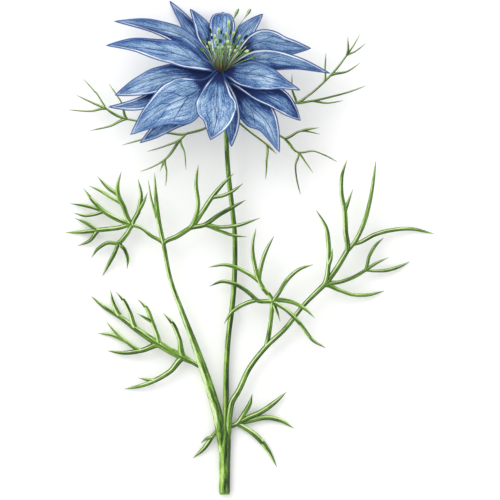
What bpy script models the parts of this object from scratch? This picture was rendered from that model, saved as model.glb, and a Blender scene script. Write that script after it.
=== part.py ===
"""Love in a mist: one cut stem of a double flower, laid down on a flat surface.

Places on the drawing are in photo pixels, MM_PER_PX real millimetres each, with heights above
the surface in millimetres. Row X is the photo's right, row Y its up, and +Z faces its viewer.
"""

import math

import bmesh
import bpy
from mathutils import Vector

MM = 0.001
MM_PER_PX = 0.24                       # a head of 220 px is 53 mm across
PHOTO_MIDDLE = (249.5, 246.5)          # px, the middle of the whole plant's outline

HEAD_PX = (222.0, 73.0)                # where the petals meet, px
HEAD_HEIGHT = 15.0                     # mm above the surface
HEAD_TILT = math.radians(44.0)         # the flower's axis, up from the surface
KNOB_RADIUS = 1.35                     # mm, the receptacle
PETAL_ROOT_RADIUS = 1.75               # mm, clear of the knob
WHORL_STEP = 0.75                      # mm between whorls along the axis
WHORL_TOP = 1.1                        # mm, the top whorl's height on the axis
PETAL_THICKNESS = 0.35                 # mm
PETAL_ROOT_HALF_WIDTH = 2.0            # px
PETAL_CUP = 0.45                       # mm that an edge stands above its midrib
PETAL_STATIONS = (0.0, 0.1, 0.2, 0.35, 0.5, 0.65, 0.8, 0.92, 1.0)
WIDTH_STATIONS = (0.0, 0.2, 0.4, 0.6, 0.8, 1.0)
ACROSS = (-1.0, -0.5, 0.0, 0.5, 1.0)
POINTED_TIP = 0.6                      # px, half a pointed tip's width
FORK_SHRINK = 0.93                     # a side branch starts thinner than what it leaves
START_BACK = 0.35                      # of its radius, how far behind the fork it starts
WELD = 1e-7                            # m

BLUE = (0.12, 0.22, 0.47)
STEM_GREEN = (0.16, 0.30, 0.06)
LEAF_GREEN = (0.22, 0.38, 0.09)
BRACT_GREEN = (0.20, 0.35, 0.08)
ANTHER_GREEN = (0.38, 0.52, 0.14)
PISTIL_GREEN = (0.33, 0.48, 0.16)


def clear_scene():
    """Removes every object, so that the script can run again in an open file."""
    for old in list(bpy.data.objects):
        bpy.data.objects.remove(old, do_unlink=True)


def place(px, py, height):
    """A drawing point and a height as a point in metres."""
    x = (px - PHOTO_MIDDLE[0]) * MM_PER_PX
    y = (PHOTO_MIDDLE[1] - py) * MM_PER_PX
    return Vector((x, y, height)) * MM


AXIS = Vector((0.0, math.cos(HEAD_TILT), math.sin(HEAD_TILT)))
UP_IN_DISC = Vector((0.0, math.sin(HEAD_TILT), -math.cos(HEAD_TILT)))
HEAD = place(*HEAD_PX, HEAD_HEIGHT)


def along(points, t):
    """The point at fraction t of a smooth curve through the given points."""
    spans = len(points) - 1
    i = min(int(t * spans), spans - 1)
    f = t * spans - i
    a = points[max(i - 1, 0)]
    b = points[i]
    c = points[i + 1]
    d = points[min(i + 2, spans)]
    return b + 0.5 * f * (c - a + f * (2 * a - 5 * b + 4 * c - d + f * (3 * (b - c) + d - a)))


def width_at(widths, t):
    """A half-width in pixels, read smoothly from its stations."""
    points = [Vector((w, 0.0, 0.0)) for w in widths]
    return max(along(points, t).x, POINTED_TIP)


def material(name, colour, roughness):
    """A plain finish with the part's colour."""
    finish = bpy.data.materials.new(name)
    finish.use_nodes = True
    shader = finish.node_tree.nodes["Principled BSDF"]
    shader.inputs["Base Color"].default_value = (*colour, 1.0)
    shader.inputs["Roughness"].default_value = roughness
    shader.inputs["Metallic"].default_value = 0.0
    return finish


def add_object(name, data, finish, root):
    """Links one named piece under the root empty."""
    piece = bpy.data.objects.new(name, data)
    data.materials.append(finish)
    piece.parent = root
    root.users_collection[0].objects.link(piece)
    return piece


def tube_curve(name, centres, radii, sides):
    """A tube's curve with its own radius at every point and filled ends."""
    curve = bpy.data.curves.new(name, "CURVE")
    curve.dimensions = "3D"
    curve.bevel_depth = MM
    curve.bevel_resolution = sides
    curve.use_fill_caps = True
    spline = curve.splines.new("POLY")
    spline.points.add(len(centres) - 1)
    for point, centre, radius in zip(spline.points, centres, radii):
        point.co = (*centre, 1.0)
        point.radius = radius
    return curve


def add_tube(name, centres, radii, sides, finish, root):
    """A tube through its centres as one named piece."""
    return add_object(name, tube_curve(name, centres, radii, sides), finish, root)


# Petals. spine: photo px and height in mm, after the root and up to the tip. right and left:
# half-widths in px at fifths of the length, as seen from above with the root at one's feet.
PETALS = {
    "petal_01": dict(whorl=1, spine=((203, 54, 11.0), (185, 37.5, 9.0), (155, 28, 8.0), (114, 21, 5.0)),
                     right=(5, 6, 8, 8), left=(8, 11, 9, 4.5)),
    "petal_02": dict(whorl=0, spine=((200, 63, 15.6), (172, 53, 15.2), (140, 48, 13.8), (106, 45.5, 11.0)),
                     right=(6, 13, 11, 9), left=(8.5, 11.5, 10.5, 4)),
    "petal_03": dict(whorl=2, spine=((200, 74.5, 14.2), (172, 75.5, 13.6), (143, 82.5, 13.0), (115, 95.5, 11.5)),
                     right=(6, 10.5, 11, 7), left=(7, 12, 13.5, 12)),
    "petal_04": dict(whorl=3, spine=((190, 84, 10.8), (160, 97, 11.3), (135, 105, 11.0), (108.5, 107, 9.5)),
                     right=(5, 8, 8, 5), left=(5, 7, 7, 5)),
    "petal_05": dict(whorl=0, spine=((204, 86, 17.5), (185, 98, 18.5), (160, 110, 18.0), (130.5, 135, 15.0)),
                     right=(10, 20, 17, 9.5), left=(12, 20, 20, 10)),
    "petal_06": dict(whorl=2, spine=((200, 95, 15.2), (180, 114, 15.6), (159, 130, 14.5), (140, 143, 12.5)),
                     right=(8, 12, 12, 7), left=(8, 11, 10, 6)),
    "petal_07": dict(whorl=0, spine=((217, 92, 20.8), (216, 108, 22.8), (216, 123, 22.8), (210.5, 140.5, 20.5)),
                     right=(12, 18.5, 16, 9.5), left=(12, 19.5, 19, 10.5)),
    "petal_08": dict(whorl=1, spine=((228, 95, 17.6), (231, 112, 18.8), (232.5, 130, 18.6), (231.5, 147, 17.0)),
                     right=(6, 9, 9, 6), left=(6, 9, 8.5, 5)),
    "petal_09": dict(whorl=3, spine=((238, 90.5, 14.7), (252, 107, 16.2), (268, 124, 16.6), (279.5, 152.5, 13.5)),
                     right=(7, 14, 15, 8), left=(6, 12, 13, 8.5)),
    "petal_10": dict(whorl=2, spine=((243.5, 87, 17.0), (264, 95, 18.4), (284, 105, 18.2), (300.5, 121, 16.0)),
                     right=(4, 8, 9, 8.5), left=(6, 10, 14, 9)),
    "petal_11": dict(whorl=0, spine=((242, 74, 17.8), (262, 76.5, 20.4), (282, 82, 20.6), (300, 90.5, 18.2)),
                     right=(11, 14, 12.5, 7), left=(10, 14, 9.5, 3.5)),
    "petal_12": dict(whorl=1, spine=((245, 62, 15.6), (268, 60, 16.6), (294, 64, 15.8), (330, 73.5, 13.5)),
                     right=(8, 14, 10.5, 4.5), left=(6, 10.5, 10, 7)),
    "petal_13": dict(whorl=2, spine=((246, 50, 12.6), (262, 42, 12.4), (284, 45, 12.2), (311, 48.5, 10.5)),
                     right=(7, 13, 13, 10), left=(6, 11, 12, 7)),
    "petal_14": dict(whorl=2, spine=((233, 54, 10.0), (241, 38, 6.8), (250.5, 26, 4.4), (263, 13.5, 1.6)),
                     right=(5, 8, 9, 6), left=(5, 8, 9, 6)),
    "petal_15": dict(whorl=0, spine=((222, 56, 12.6), (221.5, 42, 9.6), (222, 27, 6.4), (222, 12.5, 3.4)),
                     right=(7, 10.5, 12, 12.5), left=(7, 10.5, 12, 12.5), tip=8.0),
    "petal_16": dict(whorl=2, spine=((214, 54, 9.8), (208, 40, 7.2), (200.5, 24, 4.4), (190, 8.5, 2.0)),
                     right=(4, 7, 9, 6), left=(4, 7.5, 9, 6)),
    "petal_17": dict(whorl=3, spine=((208, 54, 8.2), (197, 38, 4.0), (184.5, 20, 1.3), (169.5, 0.5, 0.18)),
                     right=(4, 7, 8, 5), left=(4, 7, 8, 5)),
}


def petal_root(whorl, aim):
    """Where a petal leaves the receptacle, on the side that faces its spine."""
    offset = aim - HEAD
    angle = math.atan2(offset.y / math.sin(HEAD_TILT), offset.x)
    outward = Vector((math.cos(angle), 0.0, 0.0)) + UP_IN_DISC * math.sin(angle)
    height = WHORL_TOP - WHORL_STEP * whorl
    return HEAD + (outward * PETAL_ROOT_RADIUS + AXIS * height) * MM


def add_petal(name, shape, finish, root):
    """A sheet through its spine and its two edges, given its thickness by Solidify."""
    spine = [place(*point) for point in shape["spine"]]
    spine.insert(0, petal_root(shape["whorl"], spine[-1]))
    tip = shape.get("tip", POINTED_TIP)
    right = (PETAL_ROOT_HALF_WIDTH, *shape["right"], tip)
    left = (PETAL_ROOT_HALF_WIDTH, *shape["left"], tip)
    points = []
    for t in PETAL_STATIONS:
        middle = along(spine, t)
        ahead = along(spine, min(t + 0.02, 1.0)) - along(spine, max(t - 0.02, 0.0))
        side = Vector((ahead.y, -ahead.x, 0.0)).normalized()
        for s in ACROSS:
            widths = right if s > 0 else left
            reach = s * width_at(widths, t) * MM_PER_PX * MM
            lift = PETAL_CUP * MM * s * s * math.sin(math.pi * min(t * 1.1, 1.0))
            points.append(middle + side * reach + Vector((0.0, 0.0, lift)))
    columns = len(ACROSS)
    faces = []
    for row in range(len(PETAL_STATIONS) - 1):
        for column in range(columns - 1):
            corner = row * columns + column
            faces.append((corner, corner + 1, corner + columns + 1, corner + columns))
    sheet = bpy.data.meshes.new(name)
    sheet.from_pydata(points, [], faces)
    petal = add_object(name, sheet, finish, root)
    wall = petal.modifiers.new("Thickness", "SOLIDIFY")
    wall.thickness = PETAL_THICKNESS * MM
    wall.offset = 0.0
    return petal


# Stem: photo px, height and radius in mm, from the cut end up to the knob under the petals.
STEM = (
    (224.5, 493, 1.13, 1.3), (224.8, 462, 1.2, 1.3), (225.3, 437, 1.3, 1.3), (225.5, 428, 1.4, 1.1),
    (225.7, 417, 1.5, 0.75), (226, 395, 1.6, 0.68), (226.6, 362.5, 1.8, 0.65), (229, 331, 2.1, 0.64),
    (231.6, 312, 2.3, 0.63), (234, 286, 2.7, 0.62), (235, 260, 3.2, 0.60), (234.7, 235, 3.9, 0.58),
    (231.6, 203, 5.0, 0.57), (228.4, 173.6, 6.3, 0.56), (226.4, 139, 8.1, 0.56), (226, 105, 10.2, 0.58),
    (224.8, 91, 11.5, 0.62),
)


def add_stem(finish, root):
    """The stem, swelling into the receptacle that carries the petals."""
    centres = [place(x, y, z) for x, y, z, _ in STEM]
    radii = [radius for _, _, _, radius in STEM]
    knob = ((-2.6, 0.75), (-1.9, 1.05), (-1.2, KNOB_RADIUS), (0.8, KNOB_RADIUS), (1.7, 1.25), (1.9, 0.9))
    for height, radius in knob:
        centres.append(HEAD + AXIS * height * MM)
        radii.append(radius)
    return add_tube("stem", centres, radii, 1, finish, root)


# Pistil: the ovary on the axis, then the styles that rise from it, tips in photo px and mm.
OVARY = ((2.25, 0.55), (2.8, 0.8), (3.8, 0.85), (4.8, 0.6), (5.6, 0.35))
STYLES = (
    ((226, 48, 23.5), (231, 30, 26.8), (237.5, 12.5, 28.0)),
    ((228.5, 47, 21.5), (238, 29, 23.6), (250, 12, 24.5)),
)


def branch_mesh(name, branch, shrink):
    """One branch as a closed tapered tube with four sides, started just behind its fork."""
    centres = [Vector(spot) for *spot, _ in branch]
    radii = [radius for *_, radius in branch]
    centres[0] = centres[0] + (centres[0] - centres[1]).normalized() * radii[0] * START_BACK * MM
    radii[0] = radii[0] * shrink
    curve = tube_curve(name, centres, radii, 0)
    holder = bpy.data.objects.new(name, curve)
    bpy.context.scene.collection.objects.link(holder)
    depsgraph = bpy.context.evaluated_depsgraph_get()
    mesh = bpy.data.meshes.new_from_object(holder.evaluated_get(depsgraph))
    bpy.data.objects.remove(holder, do_unlink=True)
    weld(mesh)
    return mesh


def weld(mesh):
    """Joins the caps of a converted tube to its wall."""
    work = bmesh.new()
    work.from_mesh(mesh)
    bmesh.ops.remove_doubles(work, verts=work.verts, dist=WELD)
    work.to_mesh(mesh)
    work.free()


def add_forked(name, branches, finish, root):
    """A branching piece: its first branch as a tube, with all the others joined to it."""
    piece = add_object(name, branch_mesh(name, branches[0], 1.0), finish, root)
    others = bpy.data.collections.new(f"{name}_branches")
    bpy.context.scene.collection.children.link(others)
    for number, branch in enumerate(branches[1:], start=1):
        mesh = branch_mesh(f"{name}_branch_{number}", branch, FORK_SHRINK)
        twig = bpy.data.objects.new(mesh.name, mesh)
        twig.parent = root
        twig.hide_render = True
        twig.display_type = "WIRE"
        others.objects.link(twig)
    join = piece.modifiers.new("Join", "BOOLEAN")
    join.operation = "UNION"
    join.solver = "EXACT"
    join.operand_type = "COLLECTION"
    join.collection = others
    return piece


def add_pistil(finish, root):
    """The ovary and its styles, one grown piece."""
    trunk = []
    for height, radius in OVARY:
        trunk.append((*(HEAD + AXIS * height * MM), radius))
    branches = [trunk]
    for style in STYLES:
        points = [(*place(*point), 0.14) for point in style]
        branches.append([trunk[-1]] + points)
    return add_forked("pistil", branches, finish, root)


# Stamens: the tips of their anthers in photo px. Their length sets how far each leans forward.
ANTHERS = (
    (210, 29), (203.5, 39.5), (201, 48.5), (209.5, 42), (215, 35), (219, 28.5), (215.5, 48), (220.5, 40),
    (223, 49), (228, 41), (229, 21.5), (234, 32), (240, 35), (247, 36), (234.5, 44),
    (242, 42.5), (250, 43), (253.5, 49.5), (247.5, 51), (240.5, 50), (255, 57),
)
STAMEN_LENGTHS = (12.5, 11.6)          # mm, from the knob to the anther's tip, in turn
STAMEN_START = 2.3                     # mm up the axis
STAMEN_RING = (0.95, 0.15)             # mm: the inner ring, and what each mm of spread adds
FILAMENT_RADIUS = 0.09
ANTHER_LENGTH = 1.7
ANTHER_RADIUS = 0.33


def add_stamen(number, anther, finish, root):
    """A filament that widens into its anther, one grown piece."""
    foot = HEAD + AXIS * STAMEN_START * MM
    flat = place(*anther, 0.0) - Vector((foot.x, foot.y, 0.0))
    length = STAMEN_LENGTHS[number % 2] * MM
    rise = math.sqrt(max(length ** 2 - flat.length_squared, 0.0))
    reach = Vector((flat.x, flat.y, rise))
    spread = reach - AXIS * reach.dot(AXIS)
    ring = STAMEN_RING[0] + STAMEN_RING[1] * spread.length / MM
    start = foot + spread.normalized() * ring * MM
    end = foot + reach
    way = (end - start).normalized()
    throat = end - way * ANTHER_LENGTH * MM
    bow = (start + throat) / 2 + AXIS * 0.35 * MM
    centres = [start, bow, throat, throat + way * 0.4 * MM, end - way * 0.4 * MM, end]
    radii = [FILAMENT_RADIUS, FILAMENT_RADIUS, FILAMENT_RADIUS, ANTHER_RADIUS, ANTHER_RADIUS, 0.12]
    return add_tube(f"stamen_{number:02d}", centres, radii, 0, finish, root)


# Bracts: points are photo px, height and radius in mm.
B_LEFT = (127.5, 119, 6.6, 0.28)
B_LEFT_FORK = (107, 109, 5.0, 0.24)
B_LOW_FORK = (186, 134, 8.4, 0.28)
B_LOW_NODE = (181, 139, 8.0, 0.26)
B_LOW_END = (165.5, 159, 6.0, 0.22)
B_RIGHT = (295.5, 103, 8.0, 0.28)
B_RIGHT_LOW = (311.5, 101, 7.0, 0.24)
B_RIGHT_MID = (324, 82, 6.9, 0.26)
B_RIGHT_OUT = (330, 76, 6.6, 0.26)
B_RIGHT_TOP = (346.5, 55.5, 5.6, 0.22)
B_CORNER = (284, 138, 7.4, 0.28)
B_CORNER_END = (298, 152, 6.2, 0.24)
B_CORNER_SIDE = (300.5, 131, 6.6, 0.22)
B_BELOW = (265, 143, 7.6, 0.24)
TIP = 0.12
BRACTS = {
    "bract_left": (
        ((220.6, 94, 10.8, 0.3), (195, 108, 10.0, 0.3), (165, 114, 8.4, 0.3), (140, 121, 7.2, 0.28), B_LEFT),
        (B_LEFT, (110, 126, 4.8, 0.2), (90, 130.5, 2.6, TIP)),
        (B_LEFT, (121.5, 103, 6.6, 0.2), (109, 84, 7.2, TIP)),
        (B_LEFT, B_LEFT_FORK, (96, 93, 4.6, 0.18), (83.5, 79, 4.2, TIP)),
        (B_LEFT_FORK, (91, 102, 3.8, 0.18), (75.5, 94.5, 2.4, TIP)),
        (B_LEFT_FORK, (90.5, 111, 3.2, 0.18), (67.6, 109.5, 1.0, TIP)),
    ),
    "bract_lower_left": (
        ((221, 104, 9.8, 0.3), (207, 127, 9.2, 0.3), B_LOW_FORK),
        (B_LOW_FORK, (165, 133, 7.6, 0.24), (140, 140, 6.0, 0.2), (122, 145, 4.6, TIP)),
        (B_LOW_FORK, B_LOW_NODE, (165, 146, 6.8, 0.18), (147, 151.5, 5.0, TIP)),
        (B_LOW_NODE, (184.5, 153, 6.4, 0.18), (186, 170, 4.6, TIP)),
        (B_LOW_NODE, B_LOW_END, (152, 167, 4.4, 0.16), (140, 171.5, 2.8, TIP)),
        (B_LOW_END, (160, 171, 4.2, TIP)),
        (B_LOW_END, (166.5, 172, 4.2, 0.16), (165.5, 186, 2.0, TIP)),
    ),
    "bract_right": (
        ((230.8, 94, 10.8, 0.3), (262, 100, 9.6, 0.3), B_RIGHT),
        (B_RIGHT, (292, 89, 7.9, 0.2), (292, 74, 7.6, TIP)),
        (B_RIGHT, (309, 95, 7.4, 0.26), B_RIGHT_MID, B_RIGHT_OUT, (338, 67, 6.0, 0.24), B_RIGHT_TOP),
        (B_RIGHT_MID, (325, 68, 7.0, 0.18), (326, 53, 7.4, TIP)),
        (B_RIGHT_OUT, (348, 71, 5.0, 0.18), (360, 63, 3.6, TIP)),
        (B_RIGHT_TOP, (348, 36, 5.6, TIP)),
        (B_RIGHT_TOP, (352.5, 47, 4.8, 0.16), (360, 34.5, 3.8, TIP)),
        (B_RIGHT_TOP, (355, 51.5, 4.6, 0.16), (366, 43, 3.0, TIP)),
        (B_RIGHT, B_RIGHT_LOW, (334, 96, 5.2, 0.2), (350, 91.5, 4.0, 0.18), (366, 85.5, 2.4, TIP)),
        (B_RIGHT_LOW, (327, 103, 5.2, 0.16), (343, 100.5, 3.6, TIP)),
    ),
    "bract_lower_right": (
        ((230.8, 104, 9.8, 0.3), (256, 121, 8.8, 0.3), B_CORNER),
        (B_CORNER, B_CORNER_SIDE, (320, 134, 4.4, TIP)),
        (B_CORNER_SIDE, (319, 127.5, 5.0, TIP)),
        (B_CORNER, B_CORNER_END, (314.5, 151, 4.8, 0.18), (325, 155, 3.8, 0.18), (337, 161.5, 2.2, TIP)),
        (B_CORNER_END, (306, 163, 4.6, 0.18), (313, 172.5, 2.8, TIP)),
        (B_CORNER_END, (295.5, 166, 4.6, 0.18), (297, 180, 3.0, 0.16), (300.5, 194.5, 1.2, TIP)),
    ),
    "bract_below": (
        ((226.2, 108, 8.6, 0.28), (242, 125, 8.4, 0.26), B_BELOW),
        (B_BELOW, (266.5, 163, 5.6, 0.2), (265.7, 179, 3.2, TIP)),
        (B_BELOW, (277, 154, 6.2, TIP)),
    ),
}

# Leaves: the same kind of points.
A_FORK = (163.5, 244, 5.8, 0.5)
A_SPIKE = (158.5, 221, 6.7, 0.52)
A_HUB = (133, 225, 5.0, 0.5)
A_LOBE_A = (138.5, 211, 6.2, 0.47)
A_LOBE_B = (122.5, 204.5, 4.9, 0.49)
A_LOBE_B_TOP = (118.5, 196, 4.8, 0.46)
A_LOBE_C = (104, 211.5, 3.6, 0.47)
A_LOBE_D = (99, 230, 2.6, 0.47)
A_LOBE_E = (119, 242.5, 3.8, 0.47)
A_INNER = (190, 228, 6.6, 0.58)
A_INNER_MID = (211, 198.5, 8.0, 0.46)
A_INNER_LOW = (204, 225, 6.8, 0.49)
B_STEP_1 = (184, 358, 3.0, 0.7)
B_STEP_2 = (160, 345, 3.2, 0.66)
B_STEP_3 = (136, 329, 2.6, 0.58)
B_STEP_4 = (121.5, 318, 1.8, 0.5)
B_SIDE_LOW = (142, 350.5, 2.6, 0.46)
B_SIDE_FAR = (125, 341, 1.6, 0.38)
B_SIDE_TOP = (152, 322, 3.8, 0.42)
B_TAIL = (156, 380, 2.2, 0.44)
C_FORK = (324, 285, 5.2, 0.64)
C_TOP = (347, 251, 5.4, 0.61)
C_SPIKE = (344.8, 212, 6.4, 0.5)
C_ARM = (353, 244.5, 4.9, 0.49)
C_TAIL = (328.4, 266, 6.0, 0.49)
C_SIDE = (365, 270.5, 3.2, 0.36)
D_HUB = (272.5, 302.5, 5.2, 0.56)
D_LEFT = (260, 283, 6.0, 0.47)
D_LOW = (257.5, 300.5, 5.4, 0.47)
E_FORK = (237, 424, 1.05, 0.45)
F_FORK = (211.5, 438, 1.3, 0.42)
LEAFLET = 0.5
FINE_TIP = 0.14
LEAVES = {
    "leaf_left_upper": (
        ((217.8, 421, 2.3, 0.75), (213, 399, 2.7, 1.0), (204.5, 373, 3.3, 1.05), (195, 346, 3.9, 0.84),
         (182, 312, 4.7, 0.62), (170.5, 280, 5.3, 0.54), A_FORK),
        (A_FORK, A_SPIKE, (156.2, 200, 7.4, 0.44), (154.5, 173, 8.2, FINE_TIP)),
        (A_SPIKE, (152.2, 203, 7.0, 0.26), (148, 180, 7.4, FINE_TIP)),
        (A_FORK, (150, 235, 5.4, 0.42), (140.5, 227.5, 5.1, 0.42), A_HUB),
        (A_HUB, A_LOBE_A, (141, 195, 7.2, 0.42), (138, 179, 7.8, FINE_TIP)),
        (A_LOBE_A, (143.8, 201.5, 7.2, 0.32), (147.6, 192.4, 7.8, FINE_TIP)),
        (A_HUB, A_LOBE_B, A_LOBE_B_TOP, (117.6, 185, 5.4, 0.38), (121.3, 171.6, 5.8, FINE_TIP)),
        (A_LOBE_B_TOP, (107, 187, 4.0, 0.37), (97, 176, 3.4, FINE_TIP)),
        (A_LOBE_B, (111, 197.5, 3.8, 0.36), (100, 190.5, 3.0, 0.34), (88.6, 185.6, 2.4, FINE_TIP)),
        (A_HUB, (119, 220, 4.4, LEAFLET), A_LOBE_C, (92.5, 200.5, 2.8, 0.4), (83, 188, 2.4, FINE_TIP)),
        (A_LOBE_C, (94, 208, 2.5, 0.34), (82, 205, 1.6, 0.34), (69.5, 203.5, 0.8, FINE_TIP)),
        (A_LOBE_C, (96, 214, 2.8, 0.34), (85, 215.5, 2.2, 0.34), (73.4, 213, 1.6, FINE_TIP)),
        (A_HUB, (117, 228, 3.8, LEAFLET), A_LOBE_D, (82, 232, 1.0, 0.4), (65.5, 232.5, 0.14, FINE_TIP)),
        (A_LOBE_D, (86, 223, 1.6, 0.35), (74.5, 218, 0.9, FINE_TIP)),
        (A_LOBE_D, (89, 241, 1.3, 0.35), (77, 246, 0.5, FINE_TIP)),
        (A_HUB, (126.5, 234, 4.4, LEAFLET), A_LOBE_E, (107, 243, 2.6, 0.4), (97.5, 249, 1.7, 0.36),
         (91, 258, 1.0, FINE_TIP)),
        (A_LOBE_E, (114, 254, 2.6, 0.42), (108, 265, 1.3, 0.37), (102, 276, 0.14, FINE_TIP)),
        (A_LOBE_E, (125, 250.5, 3.0, 0.36), (127.6, 259, 2.3, 0.34), (126.8, 269, 1.6, FINE_TIP)),
        (A_FORK, (177.5, 236, 6.2, 0.6), A_INNER),
        (A_INNER, (195.8, 217, 7.3, 0.5), (198, 205, 7.6, 0.42), (196, 184, 7.6, 0.4),
         (198.3, 164.5, 7.6, FINE_TIP)),
        (A_INNER, (202.5, 211.5, 7.4, LEAFLET), A_INNER_MID, (223, 184, 8.4, 0.38),
         (233.7, 173.5, 8.4, FINE_TIP)),
        (A_INNER_MID, (223.5, 195.5, 8.2, 0.36), (234.5, 190, 7.9, 0.34), (242.7, 183.6, 7.4, FINE_TIP)),
        (A_INNER, A_INNER_LOW, (218, 215.5, 6.9, 0.45), (232, 207.5, 7.0, 0.42), (245.7, 200, 6.4, FINE_TIP)),
        (A_INNER_LOW, (220, 227, 6.5, 0.38), (237, 225.5, 6.2, 0.38), (260, 218, 4.8, FINE_TIP)),
        (A_INNER_LOW, (219, 230.5, 6.2, 0.34), (232, 235, 5.8, 0.34), (247, 236.8, 5.4, FINE_TIP)),
    ),
    "leaf_left_lower": (
        ((192.8, 362.6, 3.3, 0.5), B_STEP_1, B_STEP_2, B_STEP_3, B_STEP_4, (104.5, 307.5, 0.9, 0.4),
         (91, 296.5, 0.14, FINE_TIP)),
        (B_STEP_4, (113.5, 304.5, 1.7, 0.36), (110, 290, 1.2, FINE_TIP)),
        (B_STEP_3, (129.5, 312.5, 3.2, 0.4), (123.5, 300.5, 3.4, 0.36), (116, 292, 3.2, FINE_TIP)),
        (B_STEP_2, (157, 335, 3.6, 0.42), B_SIDE_TOP, (145.5, 307, 4.2, 0.36), (138, 299.6, 4.2, FINE_TIP)),
        (B_SIDE_TOP, (144.5, 317.5, 4.3, 0.28), (137, 313.6, 4.6, FINE_TIP)),
        (B_STEP_1, (179, 338.5, 4.0, 0.42), (172.5, 323.5, 4.6, 0.4), (163.6, 313.6, 5.0, FINE_TIP)),
        (B_STEP_2, B_SIDE_LOW, (124, 353, 1.6, 0.4), (107, 351, 0.6, FINE_TIP)),
        (B_SIDE_LOW, B_SIDE_FAR, (111, 334.8, 0.8, 0.36), (97.5, 333.5, 0.14, FINE_TIP)),
        (B_SIDE_FAR, (115, 332, 1.5, 0.26), (106, 321.5, 1.6, FINE_TIP)),
        (B_STEP_1, (170, 371.5, 2.6, LEAFLET), B_TAIL, (139, 386.5, 1.2, 0.38), (124, 389.3, 0.14, FINE_TIP)),
        (B_TAIL, (147, 379.8, 1.8, 0.3), (138, 378, 1.4, FINE_TIP)),
    ),
    "leaf_right_upper": (
        ((233.2, 421, 2.3, 0.7), (238, 392, 2.7, 0.68), (249, 369, 3.1, 0.64), (267, 346, 3.7, 0.6),
         (284, 330, 4.1, 0.56), (304, 305, 4.7, 0.54), C_FORK),
        (C_FORK, (336, 269.5, 5.4, 0.64), C_TOP),
        (C_FORK, C_TAIL, (328.6, 245, 6.5, 0.5), (326.5, 229, 6.8, 0.44), (316.3, 210, 7.2, FINE_TIP)),
        (C_TAIL, (331.4, 257.5, 6.6, 0.3), (332.6, 248.5, 7.0, FINE_TIP)),
        (C_TOP, (345.6, 231, 6.0, 0.56), C_SPIKE, (341.4, 192, 7.1, 0.45), (342, 176, 7.4, 0.38),
         (347, 159.5, 7.6, FINE_TIP)),
        (C_SPIKE, (348.8, 200.5, 6.5, 0.28), (353, 189, 6.4, FINE_TIP)),
        (C_TOP, C_ARM, (363.5, 224.5, 5.0, 0.45), (369.8, 202, 5.2, 0.4), (373.4, 181, 5.0, 0.36),
         (376, 161, 4.8, FINE_TIP)),
        (C_ARM, (361, 242, 4.2, 0.46), (374, 235, 3.2, 0.45), (391, 230.3, 2.2, 0.42), (410, 228.8, 1.2, 0.4),
         (434, 233.6, 0.14, FINE_TIP)),
        (C_FORK, (341, 281.8, 4.4, 0.4), (355, 276.5, 3.8, 0.38), C_SIDE, (375, 264, 2.9, 0.34),
         (388.7, 257.4, 2.6, FINE_TIP)),
        (C_SIDE, (369.5, 256, 3.4, 0.34), (376, 245, 3.5, 0.34), (383.7, 237.8, 3.6, FINE_TIP)),
        (C_SIDE, (374.5, 271, 2.4, 0.3), (387, 270.3, 1.5, 0.38), (399, 266.8, 0.8, 0.35),
         (410, 261.6, 0.14, FINE_TIP)),
        (C_FORK, (339, 290, 3.9, 0.43), (353, 294.6, 2.4, 0.4), (368, 295, 1.4, 0.38),
         (384.4, 291, 0.14, FINE_TIP)),
    ),
    "leaf_right_middle": (
        ((268.7, 335.4, 3.8, 0.55), (270.8, 321, 4.6, 0.52), D_HUB),
        (D_HUB, (277, 312.5, 5.0, 0.34), (280, 321, 4.9, FINE_TIP)),
        (D_HUB, D_LEFT, (254.5, 264, 6.8, 0.42), (252.5, 246, 7.0, 0.38), (256, 228, 7.0, FINE_TIP)),
        (D_LEFT, (261.5, 265, 6.4, 0.42), (266.5, 250, 6.4, 0.38), (274, 236, 6.2, FINE_TIP)),
        (D_LEFT, (242.5, 270.3, 6.0, 0.42), (225, 264.8, 5.2, 0.38), (208.5, 267.3, 3.8, FINE_TIP)),
        (D_HUB, D_LOW, (249, 293, 5.3, 0.42), (237, 285, 4.9, 0.44), (222.5, 281.5, 3.6, 0.38),
         (209.5, 286.3, 2.4, FINE_TIP)),
        (D_LOW, (244, 304.3, 4.9, 0.42), (231.5, 312.5, 4.6, 0.38), (224, 324, 4.0, FINE_TIP)),
        (D_HUB, (278.3, 294, 5.6, 0.42), (287.5, 279.5, 5.8, 0.42), (299, 269.5, 5.5, 0.38),
         (313, 264.6, 5.0, FINE_TIP)),
        (D_HUB, (292.5, 302.3, 6.0, 0.43), (304.5, 308.5, 6.0, 0.38), (315, 318, 4.2, FINE_TIP)),
        (D_HUB, (283, 307.8, 5.95, 0.43), (295, 318, 5.9, 0.43), (304, 329, 4.6, 0.4), (313, 340.5, 2.6, 0.36),
         (325.7, 348, 0.14, FINE_TIP)),
    ),
    "leaf_base_right": (
        ((232.4, 426, 1.0, 0.42), E_FORK),
        (E_FORK, (243.5, 414.5, 1.8, 0.38), (249.5, 404.5, 2.6, 0.36), (252.3, 394, 3.4, FINE_TIP)),
        (E_FORK, (248, 418, 1.6, 0.43), (260.5, 412.5, 1.9, 0.42), (275, 402.5, 1.4, 0.37),
         (286.7, 392, 0.8, FINE_TIP)),
        (E_FORK, (250, 420.8, 1.15, 0.43), (266, 417.8, 1.2, 0.42), (281.5, 421, 0.7, 0.37),
         (294, 428.6, 0.14, FINE_TIP)),
        (E_FORK, (243.5, 427.5, 1.1, 0.42), (256, 436, 1.1, 0.43), (267.5, 450, 0.8, 0.38),
         (276.6, 467, 0.14, FINE_TIP)),
    ),
    "leaf_base_left": (
        ((217.4, 430.5, 1.0, 0.42), F_FORK),
        (F_FORK, (204, 448.5, 1.0, 0.38), (193, 458.5, 0.14, FINE_TIP)),
        (F_FORK, (206.5, 439, 1.7, 0.28), (201, 443.5, 2.1, FINE_TIP)),
    ),
}


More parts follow.
